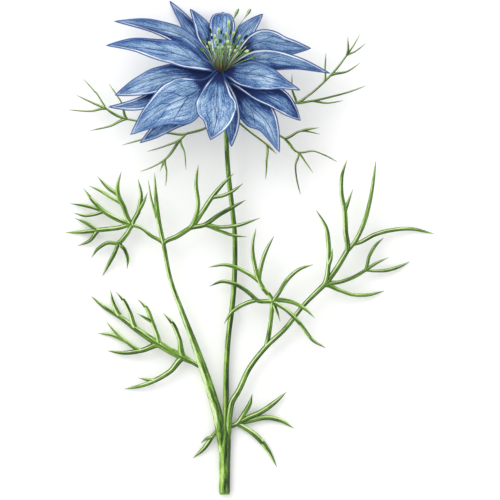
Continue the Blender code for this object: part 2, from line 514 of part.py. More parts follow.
def placed(branches):
    """Branches from photo px and mm to metres, with their radii kept in mm."""
    result = []
    for branch in branches:
        result.append([(*place(x, y, z), radius) for x, y, z, radius in branch])
    return result


def settle(root, pieces):
    """Moves the whole plant so that its box stands on the origin by its bottom's middle."""
    bpy.context.view_layer.update()
    depsgraph = bpy.context.evaluated_depsgraph_get()
    corners = []
    for piece in pieces:
        mesh = bpy.data.meshes.new_from_object(piece.evaluated_get(depsgraph))
        corners += [piece.matrix_world @ vertex.co for vertex in mesh.vertices]
        bpy.data.meshes.remove(mesh)
    low = Vector([min(corner[i] for corner in corners) for i in range(3)])
    high = Vector([max(corner[i] for corner in corners) for i in range(3)])
    middle = (low + high) / 2
    root.location = (-middle.x, -middle.y, -low.z)


def build():
    """Makes every piece under one root empty in the plant's own collection."""
    clear_scene()
    collection = bpy.data.collections.new("love_in_a_mist")
    bpy.context.scene.collection.children.link(collection)
    root = bpy.data.objects.new("plant_root", None)
    collection.objects.link(root)
    stem_finish = material("stem_green", STEM_GREEN, 0.55)
    leaf_finish = material("leaf_green", LEAF_GREEN, 0.55)
    bract_finish = material("bract_green", BRACT_GREEN, 0.55)
    petal_finish = material("petal_blue", BLUE, 0.6)
    stamen_finish = material("stamen_green", ANTHER_GREEN, 0.6)
    pistil_finish = material("pistil_green", PISTIL_GREEN, 0.5)
    pieces = [add_stem(stem_finish, root), add_pistil(pistil_finish, root)]
    for name, shape in PETALS.items():
        pieces.append(add_petal(name, shape, petal_finish, root))
    for number, anther in enumerate(ANTHERS, start=1):
        pieces.append(add_stamen(number, anther, stamen_finish, root))
    for name, branches in BRACTS.items():
        pieces.append(add_forked(name, placed(branches), bract_finish, root))
    for name, branches in LEAVES.items():
        pieces.append(add_forked(name, placed(branches), leaf_finish, root))
    settle(root, pieces)


build()
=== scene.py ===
"""Looks of a cut stem of double love in a mist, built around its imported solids.

Places are read off the drawing as pixels across and down, with a height above the surface in
millimetres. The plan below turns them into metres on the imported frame.
"""

from __future__ import annotations

import logging
import math
from dataclasses import dataclass, field
from enum import Enum
from typing import Any, Iterable, Sequence

import bpy
import numpy as np
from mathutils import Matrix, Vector, noise
from mathutils.bvhtree import BVHTree

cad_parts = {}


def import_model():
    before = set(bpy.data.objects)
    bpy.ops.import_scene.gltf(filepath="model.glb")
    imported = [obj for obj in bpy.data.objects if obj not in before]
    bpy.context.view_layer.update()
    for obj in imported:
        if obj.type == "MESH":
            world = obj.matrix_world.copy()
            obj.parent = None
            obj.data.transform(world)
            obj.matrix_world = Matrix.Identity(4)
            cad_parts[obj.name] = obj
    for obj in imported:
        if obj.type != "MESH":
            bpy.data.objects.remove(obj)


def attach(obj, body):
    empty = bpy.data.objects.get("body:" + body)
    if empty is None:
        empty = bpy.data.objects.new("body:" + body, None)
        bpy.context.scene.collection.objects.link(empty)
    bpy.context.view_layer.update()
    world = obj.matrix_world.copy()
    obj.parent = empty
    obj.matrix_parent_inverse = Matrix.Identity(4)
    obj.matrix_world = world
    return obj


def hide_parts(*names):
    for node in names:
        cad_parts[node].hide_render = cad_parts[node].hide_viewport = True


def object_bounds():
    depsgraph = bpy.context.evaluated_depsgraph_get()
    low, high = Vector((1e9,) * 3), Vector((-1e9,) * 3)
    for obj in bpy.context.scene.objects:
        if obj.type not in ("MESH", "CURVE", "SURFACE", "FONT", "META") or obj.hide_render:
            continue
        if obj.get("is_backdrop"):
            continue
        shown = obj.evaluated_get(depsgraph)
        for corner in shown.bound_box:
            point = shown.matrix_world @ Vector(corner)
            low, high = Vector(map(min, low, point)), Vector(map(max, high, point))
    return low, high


LOG = logging.getLogger("love_in_a_mist")
BODY = "root"
MM = 0.001
MM_PER_PX = 0.24
Colour = tuple[float, float, float]
Spot = tuple[float, ...]
Face = tuple[int, ...]
Branches = tuple[tuple[Spot, ...], ...]


def srgb(red: int, green: int, blue: int) -> Colour:
    """Turns an 8-bit display colour into linear light.

    Args:
        red: Red, 0 to 255.
        green: Green, 0 to 255.
        blue: Blue, 0 to 255.

    Returns:
        The colour in linear light.
    """
    values = []
    for level in (red, green, blue):
        part = level / 255
        values.append(part / 12.92 if part <= 0.04045 else ((part + 0.055) / 1.055) ** 2.4)
    return tuple(values)


@dataclass
class Plan:
    """The drawing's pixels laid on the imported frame.

    The plant's box runs from the lowest leaf tip's column to the highest, and from the cut end's
    row to the top petal's, so its middle gives the drawing's middle.
    """

    left_px: float = 65.25
    right_px: float = 434.0
    top_px: float = 0.5
    bottom_px: float = 493.0
    middle: Vector = field(default_factory=Vector)

    def fit(self, low: Vector, high: Vector) -> None:
        """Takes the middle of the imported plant's box.

        Args:
            low: The box's lowest corner, in metres.
            high: The box's highest corner, in metres.
        """
        self.middle = Vector(((low.x + high.x) / 2, (low.y + high.y) / 2, low.z))

    def at(self, px: float, py: float, height: float) -> np.ndarray:
        """A drawing pixel and a height in mm, as a point in mm on the frame.

        Args:
            px: Pixels from the drawing's left.
            py: Pixels from its top.
            height: Millimetres above the surface.

        Returns:
            The point, in millimetres.
        """
        across = px - (self.left_px + self.right_px) / 2
        down = py - (self.top_px + self.bottom_px) / 2
        start = np.array(self.middle) / MM
        return start + np.array((across * MM_PER_PX, -down * MM_PER_PX, height))

    def path(self, spots: Iterable[Spot]) -> np.ndarray:
        """Several spots, as rows of points in mm."""
        return np.array([self.at(*spot[:3]) for spot in spots])


def curve_through(points: np.ndarray, count: int) -> np.ndarray:
    """Even steps along a smooth curve through points.

    Args:
        points: Rows of values, of which the first three are a place.
        count: How many rows to return.

    Returns:
        The rows, evenly spaced by the length of the curve's chords.
    """
    gaps = np.linalg.norm(np.diff(points[:, :3], axis=0), axis=1)
    knots = np.concatenate(([0.0], np.cumsum(gaps)))
    slopes = np.diff(points, axis=0) / gaps[:, None]
    tangents = np.empty_like(points)
    tangents[0] = slopes[0]
    tangents[-1] = slopes[-1]
    for i in range(1, len(points) - 1):
        before, after = gaps[i - 1], gaps[i]
        tangents[i] = (slopes[i - 1] * after + slopes[i] * before) / (before + after)
    where = np.linspace(0.0, knots[-1], count)
    span = np.clip(np.searchsorted(knots, where, side="right") - 1, 0, len(gaps) - 1)
    width = gaps[span]
    f = ((where - knots[span]) / width)[:, None]
    width = width[:, None]
    start, end = points[span], points[span + 1]
    leave, arrive = tangents[span] * width, tangents[span + 1] * width
    rise = f * f * (3 - 2 * f)
    return start + (end - start) * rise + leave * f * (1 - f) ** 2 - arrive * f * f * (1 - f)


def stations_through(values: Sequence[float], where: np.ndarray) -> np.ndarray:
    """Reads a smooth curve through evenly spaced values.

    Args:
        values: The values at even stations from 0 to 1.
        where: The fractions to read.

    Returns:
        The value at each fraction.
    """
    level = np.array(values, float)
    spans = len(level) - 1
    i = np.minimum((where * spans).astype(int), spans - 1)
    f = where * spans - i
    a = level[np.maximum(i - 1, 0)]
    b = level[i]
    c = level[i + 1]
    d = level[np.minimum(i + 2, spans)]
    return b + 0.5 * f * (c - a + f * (2 * a - 5 * b + 4 * c - d + f * (3 * (b - c) + d - a)))


def unit(rows: np.ndarray) -> np.ndarray:
    """Rows scaled to length one."""
    return rows / np.maximum(np.linalg.norm(rows, axis=-1, keepdims=True), 1e-12)


def wobble(seed: float, where: np.ndarray) -> np.ndarray:
    """A gentle repeatable waver along a line, between about -1 and 1."""
    return np.array([noise.noise(Vector((seed, value, 0.5 * seed))) * 2 for value in where])


def around(sides: int) -> np.ndarray:
    """Even angles of one full turn, in radians."""
    return np.arange(sides) / sides * 2 * math.pi


def grid_faces(rows: int, columns: int) -> list[Face]:
    """Faces of a grid of points numbered row by row."""
    starts = [row * columns + column for row in range(rows - 1) for column in range(columns - 1)]
    return [(a, a + 1, a + columns + 1, a + columns) for a in starts]


def tube_faces(rings: int, sides: int) -> list[Face]:
    """Faces of a tube, closed at each end by a point of its own.

    Args:
        rings: How many rings of points it has.
        sides: How many points are in a ring.

    Returns:
        Faces turned outwards. The start's point and the end's are numbered after the rings.
    """
    faces = []
    first, last, top = rings * sides, rings * sides + 1, (rings - 1) * sides
    for j in range(sides):
        k = (j + 1) % sides
        faces.extend((i + j, i + sides + j, i + sides + k, i + k) for i in range(0, top, sides))
        faces.append((first, j, k))
        faces.append((last, top + k, top + j))
    return faces


@dataclass
class MeshMaker:
    """Turns grids of points into one closed, dressed piece.

    Attributes:
        name: The piece's name.
        points: Each shell's points in mm.
        faces: Faces by point number.
        corners: A texture place for each corner of each face.
        slots: Each face's material slot.
        values: A number for each point of each shell, by attribute name.
        count: How many points there are so far.
    """

    name: str
    points: list[np.ndarray] = field(default_factory=list)
    faces: list[Face] = field(default_factory=list)
    corners: list[tuple[float, float]] = field(default_factory=list)
    slots: list[int] = field(default_factory=list)
    values: dict[str, list[np.ndarray]] = field(default_factory=dict)
    count: int = 0

    def add(self, points: np.ndarray, faces: Iterable[Face], uv: np.ndarray,
            values: dict[str, np.ndarray], slot: int = 0) -> None:
        """Adds one closed shell.

        Args:
            points: Rows of points in mm.
            faces: Faces by point number, turned outwards.
            uv: One texture place for each point.
            values: A number for each point, by attribute name.
            slot: The shell's material slot.
        """
        for face in faces:
            self.faces.append(tuple(number + self.count for number in face))
            self.corners.extend((float(uv[number][0]), float(uv[number][1])) for number in face)
            self.slots.append(slot)
        self.points.append(points)
        for key, row in values.items():
            self.values.setdefault(key, []).append(row)
        self.count += len(points)

    def finish(self, finishes: Sequence[bpy.types.Material]) -> bpy.types.Object:
        """Makes the mesh object with its texture map, attributes and finishes.

        Args:
            finishes: The materials, in slot order.

        Returns:
            The piece, at the origin with its place in its mesh.
        """
        mesh = bpy.data.meshes.new(self.name)
        mesh.from_pydata((np.concatenate(self.points) * MM).tolist(), [], self.faces)
        layer = mesh.uv_layers.new(name="Surface")
        layer.data.foreach_set("uv", np.array(self.corners, np.float32).ravel())
        for key, rows in self.values.items():
            attribute = mesh.attributes.new(key, "FLOAT", "POINT")
            attribute.data.foreach_set("value", np.concatenate(rows).astype(np.float32))
        for material in finishes:
            mesh.materials.append(material)
        mesh.polygons.foreach_set("material_index", self.slots)
        mesh.shade_smooth()
        piece = bpy.data.objects.new(self.name, mesh)
        bpy.context.scene.collection.objects.link(piece)
        return piece


def settle(piece: bpy.types.Object, slot: str, *nodes: str) -> None:
    """Says what a piece rides on and which nodes it stands for, and logs it.

    Args:
        piece: The finished piece.
        slot: The record's material slot. Not used.
        nodes: The solids that it stands for.
    """
    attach(piece, BODY)
    if nodes:
        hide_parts(*nodes)
    LOG.info("%s: %d faces", piece.name, len(piece.data.polygons))


@dataclass(frozen=True)
class Num:
    """A number that varies over a surface, so that its maths reads as plain maths.

    Attributes:
        board: The material being drawn.
        socket: The output that carries the number.
    """

    board: Board
    socket: bpy.types.NodeSocket

    def math(self, operation: str, first: Any, second: Any = None) -> Num:
        """Adds one Math node.

        Args:
            operation: The node's operation.
            first: Its first value.
            second: Its second value, if it has one.

        Returns:
            The result.
        """
        inputs = {0: first}
        if second is not None:
            inputs[1] = second
        made = self.board.node("ShaderNodeMath", {"operation": operation}, inputs)
        return Num(self.board, made.outputs[0])

    def __add__(self, other: Any) -> Num:
        """This plus another."""
        return self.math("ADD", self, other)

    __radd__ = __add__

    def __mul__(self, other: Any) -> Num:
        """This times another."""
        return self.math("MULTIPLY", self, other)

    __rmul__ = __mul__

    def __sub__(self, other: Any) -> Num:
        """This less another."""
        return self.math("SUBTRACT", self, other)

    def __rsub__(self, other: Any) -> Num:
        """Another less this."""
        return self.math("SUBTRACT", other, self)

    def __pow__(self, other: Any) -> Num:
        """This to a power."""
        return self.math("POWER", self, other)

    def __abs__(self) -> Num:
        """Its size without its sign."""
        return self.math("ABSOLUTE", self)

    def part(self) -> Num:
        """Its fractional part."""
        return self.math("FRACT", self)

    def below(self, other: Any) -> Num:
        """The smaller of this and another."""
        return self.math("MINIMUM", self, other)

    def step(self, low: float, high: float) -> Num:
        """A smooth step from 0 at low to 1 at high.

        Args:
            low: Where it is 0.
            high: Where it is 1, which may be less than low.

        Returns:
            The step.
        """
        start, end = (0.0, 1.0) if low < high else (1.0, 0.0)
        inputs = {0: self, 1: min(low, high), 2: max(low, high), 3: start, 4: end}
        made = self.board.node("ShaderNodeMapRange", {"interpolation_type": "SMOOTHSTEP"}, inputs)
        return Num(self.board, made.outputs[0])


@dataclass
class Wiring:
    """A node tree and the one way of adding a node to it."""

    tree: bpy.types.NodeTree

    def node(self, kind: str, settings: dict[str, Any], inputs: dict[Any, Any]) -> bpy.types.Node:
        """Adds any node.

        Args:
            kind: The node's type.
            settings: Its own settings, set first.
            inputs: Values or links of its sockets, by name or number.

        Returns:
            The node.
        """
        made = self.tree.nodes.new(kind)
        for key, value in settings.items():
            setattr(made, key, value)
        for key, value in inputs.items():
            self.feed(made.inputs[key], value)
        return made

    def feed(self, socket: bpy.types.NodeSocket, value: Any) -> None:
        """Links or sets one socket.

        Args:
            socket: The input.
            value: A number, a colour, a socket or a wrapped number.
        """
        if isinstance(value, Num):
            self.tree.links.new(value.socket, socket)
        elif isinstance(value, bpy.types.NodeSocket):
            self.tree.links.new(value, socket)
        elif isinstance(value, tuple) and socket.type == "RGBA":
            socket.default_value = (*value[:3], 1.0)
        else:
            socket.default_value = value


class Board(Wiring):
    """One material's node tree, with the few ways of adding to it that the finishes use."""

    specular = 0.25

    def __init__(self, name: str) -> None:
        """Makes the material.

        Args:
            name: The finish's name.
        """
        self.material = bpy.data.materials.new(name)
        self.material.use_nodes = True
        super().__init__(self.material.node_tree)
        self.shader = self.tree.nodes["Principled BSDF"]

    def value(self, name: str) -> Num:
        """A number kept on the mesh."""
        made = self.node("ShaderNodeAttribute", {"attribute_name": name}, {})
        return Num(self, made.outputs["Fac"])

    def place(self, x: Any, y: Any, z: Any) -> bpy.types.NodeSocket:
        """A vector of three numbers."""
        return self.node("ShaderNodeCombineXYZ", {}, {0: x, 1: y, 2: z}).outputs[0]

    def here(self) -> bpy.types.NodeSocket:
        """The place on the object, in metres."""
        return self.node("ShaderNodeTexCoord", {}, {}).outputs["Object"]

    def noise(self, where: bpy.types.NodeSocket, scale: float, detail: float = 2.0,
              rough: float = 0.5) -> Num:
        """A soft noise between 0 and 1.

        Args:
            where: The place that it reads.
            scale: Its scale.
            detail: Its octaves.
            rough: How strong the finer ones are.

        Returns:
            The noise.
        """
        inputs = {"Vector": where, "Scale": scale, "Detail": detail, "Roughness": rough}
        return Num(self, self.node("ShaderNodeTexNoise", {}, inputs).outputs[0])

    def mix(self, amount: Any, first: Any, second: Any) -> bpy.types.NodeSocket:
        """Mixes two colours.

        Args:
            amount: How much of the second.
            first: The first colour.
            second: The second colour.

        Returns:
            The mixed colour.
        """
        made = self.node("ShaderNodeMix", {"data_type": "RGBA"}, {0: amount, 6: first, 7: second})
        return made.outputs[2]

    def ramp(self, amount: Num, stops: Sequence[tuple[float, Colour]]) -> bpy.types.NodeSocket:
        """A run of colours.

        Args:
            amount: Where to read it.
            stops: Places from 0 to 1, each with its colour.

        Returns:
            The colour.
        """
        made = self.node("ShaderNodeValToRGB", {}, {0: amount})
        stripe = made.color_ramp
        for place, _ in stops[2:]:
            stripe.elements.new(place)
        for element, (place, colour) in zip(stripe.elements, stops):
            element.position = place
            element.color = (*colour, 1.0)
        return made.outputs[0]

    def bump(self, height: Num, strength: float, distance: float) -> None:
        """Feeds the surface's normal from a height.

        Args:
            height: The height, 0 to 1.
            strength: How strongly it shows.
            distance: How far 1 stands out, in metres.
        """
        inputs = {"Strength": strength, "Distance": distance, "Height": height}
        self.feed(self.shader.inputs["Normal"], self.node("ShaderNodeBump", {}, inputs).outputs[0])

    def done(self, colour: Any, roughness: Any, sheen: float = 0.0) -> bpy.types.Material:
        """Sets the last sockets.

        Args:
            colour: The base colour.
            roughness: The roughness.
            sheen: A soft sheen's weight.

        Returns:
            The finished material.
        """
        self.feed(self.shader.inputs["Base Color"], colour)
        self.feed(self.shader.inputs["Roughness"], roughness)
        self.feed(self.shader.inputs["Specular IOR Level"], self.specular)
        self.feed(self.shader.inputs["Sheen Weight"], sheen)
        return self.material


class Tone(Enum):
    """How dark a petal is drawn."""

    SOFT = 0.1
    MIDDLE = 0.2
    DEEP = 0.32


class PetalMarks:
    """What varies over a petal: numbers kept on its mesh, noises drawn along it and its lines."""

    def __init__(self, board: Board, grain_scale: float) -> None:
        """Reads the mesh and draws the noises.

        Args:
            board: The material being drawn.
            grain_scale: The scale of the grain.
        """
        self.across, self.along = board.value("across"), board.value("along")
        self.edge, self.side, self.shade = board.value("edge"), board.value("side"), board.value("shade")
        self.tone, self.lean, self.base = board.value("tone"), board.value("lean"), board.value("base")
        self.rimmed, self.root = board.value("rim"), board.value("root")
        seed = board.value("seed")
        bend = board.noise(board.place(self.side * 0.3 + seed, self.along * 3.0, seed), 1.0, 2.0)
        drawn = self.across * (1.25 - self.along * 0.25) + (bend - 0.5) * 0.3
        self.streak = board.noise(board.place(drawn * 9 + seed, self.along * 2.2, seed), 1.0, 4.0, 0.7)
        self.fine = board.noise(board.place(drawn * 22 + seed, self.along * 6.0, seed), 1.0, 3.0, 0.7)
        self.patch = board.noise(board.place(self.side * 0.4, self.along * 6.0, seed), 1.0, 2.0)
        self.grain = board.noise(board.here(), grain_scale, 3.0, 0.7)
        self.out = abs(self.across)
        self.waver = (self.patch - 0.5) * 0.25

    def vein(self) -> Num:
        """Draws the forked veins.

        Returns:
            1 on a vein and 0 off it.
        """
        lobe = (self.along * 5.4 - (self.out ** 0.8) * 1.5 + self.waver * 2.0).part()
        vein = abs(lobe - 0.5).step(0.045, 0.01) * self.out.step(0.86, 0.5)
        return vein * self.along.step(0.05, 0.3) * self.patch.step(0.3, 0.5)

    def twig(self) -> Num:
        """The soft side veins towards the edge, 1 on one."""
        lobe = (self.along * 11.0 - (self.out ** 0.9) * 2.3 + self.waver * 4.0 + 0.3).part()
        return abs(lobe - 0.5).step(0.1, 0.0) * self.out.step(0.3, 0.5) * self.out.step(0.95, 0.7)

    def midrib(self) -> Num:
        """The line down the middle, 1 on the line."""
        line = abs(self.side + (self.patch - 0.5) * 0.15).step(0.16, 0.03)
        return line * self.along.step(0.97, 0.85)

    def depth(self, lines: Num) -> Num:
        """How dark the blue is, from 0, pale, to 1, navy, with painted shade where it is covered, near the
        root and on one side.

        Args:
            lines: How much the veins darken it.

        Returns:
            The depth.
        """
        strokes = (self.streak - 0.5) * 1.25 + (self.fine - 0.5) * 1.1 + (self.patch - 0.5) * 0.7
        # Painted shade where other petals cover this one, and towards the root by whorl.
        covered = self.along.step(0.48, 0.1) * self.base + self.shade * 1.9
        # Painted shade deep in the flower's middle, at the petal's root.
        throat = self.along.step(0.2, 0.08) * 0.45 + self.along.step(0.35, 0.23) * self.root
        # Darker towards the outline, and painted shade on the side that lean picks.
        sides = self.edge.step(1.8, 0.3) * 0.22 + (self.across * self.lean).step(0.0, 0.8) * 0.5
        return self.tone + strokes + 0.25 + covered + throat + sides + lines + (self.grain - 0.5)

    def rim(self) -> Num:
        """Draws the white rim, partly a drawn margin and partly painted highlight, broken by the streaks and
        missing where the petal is covered.

        Returns:
            How much of it shows, from 0 to about 1.
        """
        wide = self.across * 0.12 * (self.lean + 0.6) + self.edge + (self.patch - 0.5) * 0.5
        # The rim fades out under painted shade where the petal is covered.
        rim = self.edge.step(0.22, 0.3) * wide.step(0.56, 0.42) * self.shade.step(0.6, 0.1)
        rim = rim * (self.streak.step(0.68, 0.42) * 0.6 + 0.4)
        rim = rim * self.along.step(0.08, 0.2) * self.grain.step(0.2, 0.42)
        bare = (self.across * self.rimmed).step(0.0, -0.45)
        rim = rim * (1.0 - bare * 0.85) * (1.0 - self.along.step(0.74, 0.94) * 0.45)
        return rim * (1.0 - self.along.step(0.36, 0.27) * self.root)


@dataclass(frozen=True)
class PetalFinish:
    """Blue petals with fine lengthwise streaks, forked veins, a pale rim that is partly painted highlight, a
    dark outline, and painted shade where they are covered and near the root.
    """

    name: str = "petal_blue"
    pale: Colour = srgb(196, 214, 232)
    light: Colour = srgb(150, 178, 208)
    middle: Colour = srgb(94, 130, 176)
    dark: Colour = srgb(42, 76, 136)
    # The deepest blue, which painted shade reaches where petals are covered.
    navy: Colour = srgb(18, 36, 88)
    # The rim's white, partly painted highlight.
    rim: Colour = srgb(240, 244, 249)
    border: Colour = srgb(52, 90, 152)
    line: Colour = srgb(24, 46, 98)
    roughness: float = 0.58
    sheen: float = 0.05
    grain_scale: float = 3600.0
    relief: float = 0.00012

    def material(self) -> bpy.types.Material:
        """Draws the finish.

        Returns:
            The material.
        """
        board = Board(self.name)
        marks = PetalMarks(board, self.grain_scale)
        vein, midrib = marks.vein(), marks.midrib()
        # Painted shade pushes the blue along this ramp towards navy.
        stops = ((0.0, self.pale), (0.26, self.light), (0.52, self.middle), (0.78, self.dark),
                 (1.0, self.navy))
        colour = board.ramp(marks.depth(vein * 0.5 + marks.twig() * 0.18), stops)
        # The white rim, partly painted highlight.
        colour = board.mix(marks.rim().below(1.0), colour, self.rim)
        colour = board.mix(midrib * 0.8, colour, self.line)
        colour = board.mix(vein * marks.along.step(0.1, 0.4) * 0.7, colour, self.line)
        outline = marks.edge.step(0.34, 0.24) * (marks.fine * 0.4 + 0.75)
        colour = board.mix(outline.below(1.0) * 0.8, colour, self.border)
        ink = marks.edge.step(0.1, 0.03) * marks.fine.step(0.4, 0.6)
        colour = board.mix(ink * 0.8, colour, self.line)
        height = marks.streak * 0.6 + marks.fine * 0.4 - vein * 0.4 - midrib * 0.8
        board.bump(height, 0.35, self.relief)
        return board.done(colour, marks.fine * 0.2 + self.roughness, self.sheen)


@dataclass(frozen=True)
class GreenFinish:
    """A green shoot with a pale stripe of painted highlight on its lit side and painted shade on its far
    side.

    Attributes:
        purple: How strongly a dull purple flushes it in patches.
        lift: How much lighter it is all over.
        far: How much painted shade darkens its far side, away from the light.
        stripe: How much lighter its stripe of painted highlight is.
    """

    name: str
    pale: Colour = srgb(216, 230, 184)
    light: Colour = srgb(160, 194, 96)
    middle: Colour = srgb(116, 156, 58)
    deep: Colour = srgb(76, 112, 38)
    dark: Colour = srgb(30, 52, 24)
    flush: Colour = srgb(92, 66, 60)
    purple: float = 0.0
    lift: float = 0.0
    far: float = 0.3
    stripe: float = 0.5
    roughness: float = 0.4
    sheen: float = 0.05
    grain_scale: float = 3800.0
    relief: float = 0.00015

    def material(self) -> bpy.types.Material:
        """Draws the finish.

        Returns:
            The material.
        """
        board = Board(self.name)
        painted_light, along, lift = board.value("painted_light"), board.value("along"), board.value("lift")
        seed = board.value("seed")
        streak = board.noise(board.place(painted_light * 1.7 + seed, along * 0.13, seed), 1.0, 3.0, 0.6)
        fine = board.noise(board.place(painted_light * 3.6, along * 0.28, lift * 2.0 + seed), 1.0, 3.0, 0.65)
        patch = board.noise(board.place(seed, along * 0.2, seed), 1.0, 2.0)
        grain = board.noise(board.here(), self.grain_scale, 3.0, 0.7)
        # A pale stripe of painted highlight on the lit side, broken by the streaks.
        stripe = abs(painted_light - 0.36 - (patch - 0.5) * 0.5).step(0.34, 0.12) * streak.step(0.32, 0.5)
        stroke = abs(painted_light + 0.1 + (patch - 0.5) * 0.8).step(0.2, 0.04)
        level = (patch - 0.5) * 0.5 + (streak - 0.5) * 1.2 + (fine - 0.5) * 1.1 + (grain - 0.5) * 0.8
        # Painted shade darkens the far side; stroke is a dark drawn line.
        level = level + stripe * self.stripe - painted_light.step(-0.1, -0.75) * self.far - stroke * 0.25
        level = level - abs(painted_light).step(0.66, 0.9) * 0.5 + (0.42 + self.lift)
        stops = ((0.0, self.dark), (0.27, self.deep), (0.52, self.middle), (0.76, self.light),
                 (1.0, self.pale))
        flush = patch.step(0.5, 0.68) * self.purple
        colour = board.mix(flush, board.ramp(level, stops), self.flush)
        board.bump(streak * 0.7 + fine * 0.3, 0.4, self.relief)
        return board.done(colour, fine * 0.2 + self.roughness, self.sheen)


@dataclass(frozen=True)
class CutFinish:
    """The pale pith and fibres of the stem's cut end."""

    name: str = "stem_cut"
    pith: Colour = srgb(222, 228, 188)
    skin: Colour = srgb(128, 156, 84)
    roughness: float = 0.6
    grain_scale: float = 6500.0
    relief: float = 0.0001

    def material(self) -> bpy.types.Material:
        """Draws the finish.

        Returns:
            The material.
        """
        board = Board(self.name)
        cells = board.noise(board.here(), self.grain_scale, 3.0, 0.7)
        bark = (board.value("out") + (cells - 0.5) * 0.4).step(0.55, 0.95)
        board.bump(cells, 0.5, self.relief)
        return board.done(board.mix(bark, self.pith, self.skin), cells * 0.2 + self.roughness)


@dataclass(frozen=True)
class StamenFinish:
    """A filament or an anther, coloured from its start to its end and darkened in grains."""

    name: str
    start: Colour
    end: Colour
    dusk: Colour = srgb(40, 50, 24)
    grain: float = 0.6
    roughness: float = 0.45
    grain_scale: float = 7000.0
    relief: float = 0.00008

    def material(self) -> bpy.types.Material:
        """Draws the finish.

        Returns:
            The material.
        """
        board = Board(self.name)
        pollen = board.noise(board.here(), self.grain_scale, 3.0, 0.7)
        far = (board.value("along") + (pollen - 0.5) * 0.5).step(0.15, 0.85)
        colour = board.mix((pollen - 0.3) * self.grain, board.mix(far, self.start, self.end), self.dusk)
        board.bump(pollen, 0.4, self.relief)
        return board.done(colour, pollen * 0.2 + self.roughness)


@dataclass(frozen=True)
class FloorFinish:
    """The plain pale surface that the stem lies on."""

    name: str = "floor_paper"
    colour: Colour = (0.965, 0.965, 0.96)
    roughness: float = 0.9

    def material(self) -> bpy.types.Material:
        """Draws the finish."""
        return Board(self.name).done(self.colour, self.roughness)


@dataclass(frozen=True)
class HeadSizes:
    """Where the petals meet, in px, and how the flower faces, with sizes in mm."""

    px: float = 220.6
    py: float = 73.7
    height: float = 15.0
    tilt: float = math.radians(44.0)
    root_radius: float = 0.8
    whorl_step: float = 0.75
    whorl_top: float = 1.1
    cup: float = 0.45


class Head:
    """The flower's middle and its axis."""

    def __init__(self, plan: Plan, sizes: HeadSizes) -> None:
        """Places the head.

        Args:
            plan: The drawing's plan.
            sizes: Its sizes.
        """
        self.plan = plan
        self.sizes = sizes
        self.middle = plan.at(sizes.px, sizes.py, sizes.height)
        self.axis = np.array((0.0, math.cos(sizes.tilt), math.sin(sizes.tilt)))
        self.up = np.array((0.0, math.sin(sizes.tilt), -math.cos(sizes.tilt)))

    def petal_root(self, whorl: int, aim: np.ndarray) -> np.ndarray:
        """Where a petal leaves the receptacle.

        Args:
            whorl: 0 for the top whorl, 3 for the lowest.
            aim: The petal's tip in mm.

        Returns:
            The root in mm.
        """
        offset = aim - self.middle
        angle = math.atan2(offset[1] / math.sin(self.sizes.tilt), offset[0])
        outward = np.array((math.cos(angle), 0.0, 0.0)) + self.up * math.sin(angle)
        height = self.sizes.whorl_top - self.sizes.whorl_step * whorl
        return self.middle + outward * self.sizes.root_radius + self.axis * height

    def on_axis(self, height: float) -> np.ndarray:
        """A point in mm that far up the flower's axis."""
        return self.middle + self.axis * height


@dataclass(frozen=True)
class PetalShape:
    """One petal as drawn.

    Attributes:
        whorl: Its layer, 0 for the top one.
        spine: Its middle line from root to tip, as px across and down and a height in mm.
        right: Half-widths in px at each fifth of its length, between root and tip.
        left: The same on its other side.
        tone: How dark it is.
        tip: The half-width of its end, in px.
        notch: How far the corners and the bump of a square end stand out, in mm. 0 is a point.
        lean: How much painted shade darkens one side. Above 0 it is the right side.
        rim: How much the white rim, partly painted highlight, keeps to one side. Above 0 it is the right
            side.
        root: How much painted shade darkens its root, deep in the flower.
    """

    whorl: int
    spine: tuple[Spot, ...]
    right: tuple[float, ...]
    left: tuple[float, ...]
    tone: Tone = Tone.SOFT
    tip: float = 0.6
    notch: float = 0.0
    lean: float = 0.0
    rim: float = 0.0
    root: float = 0.0


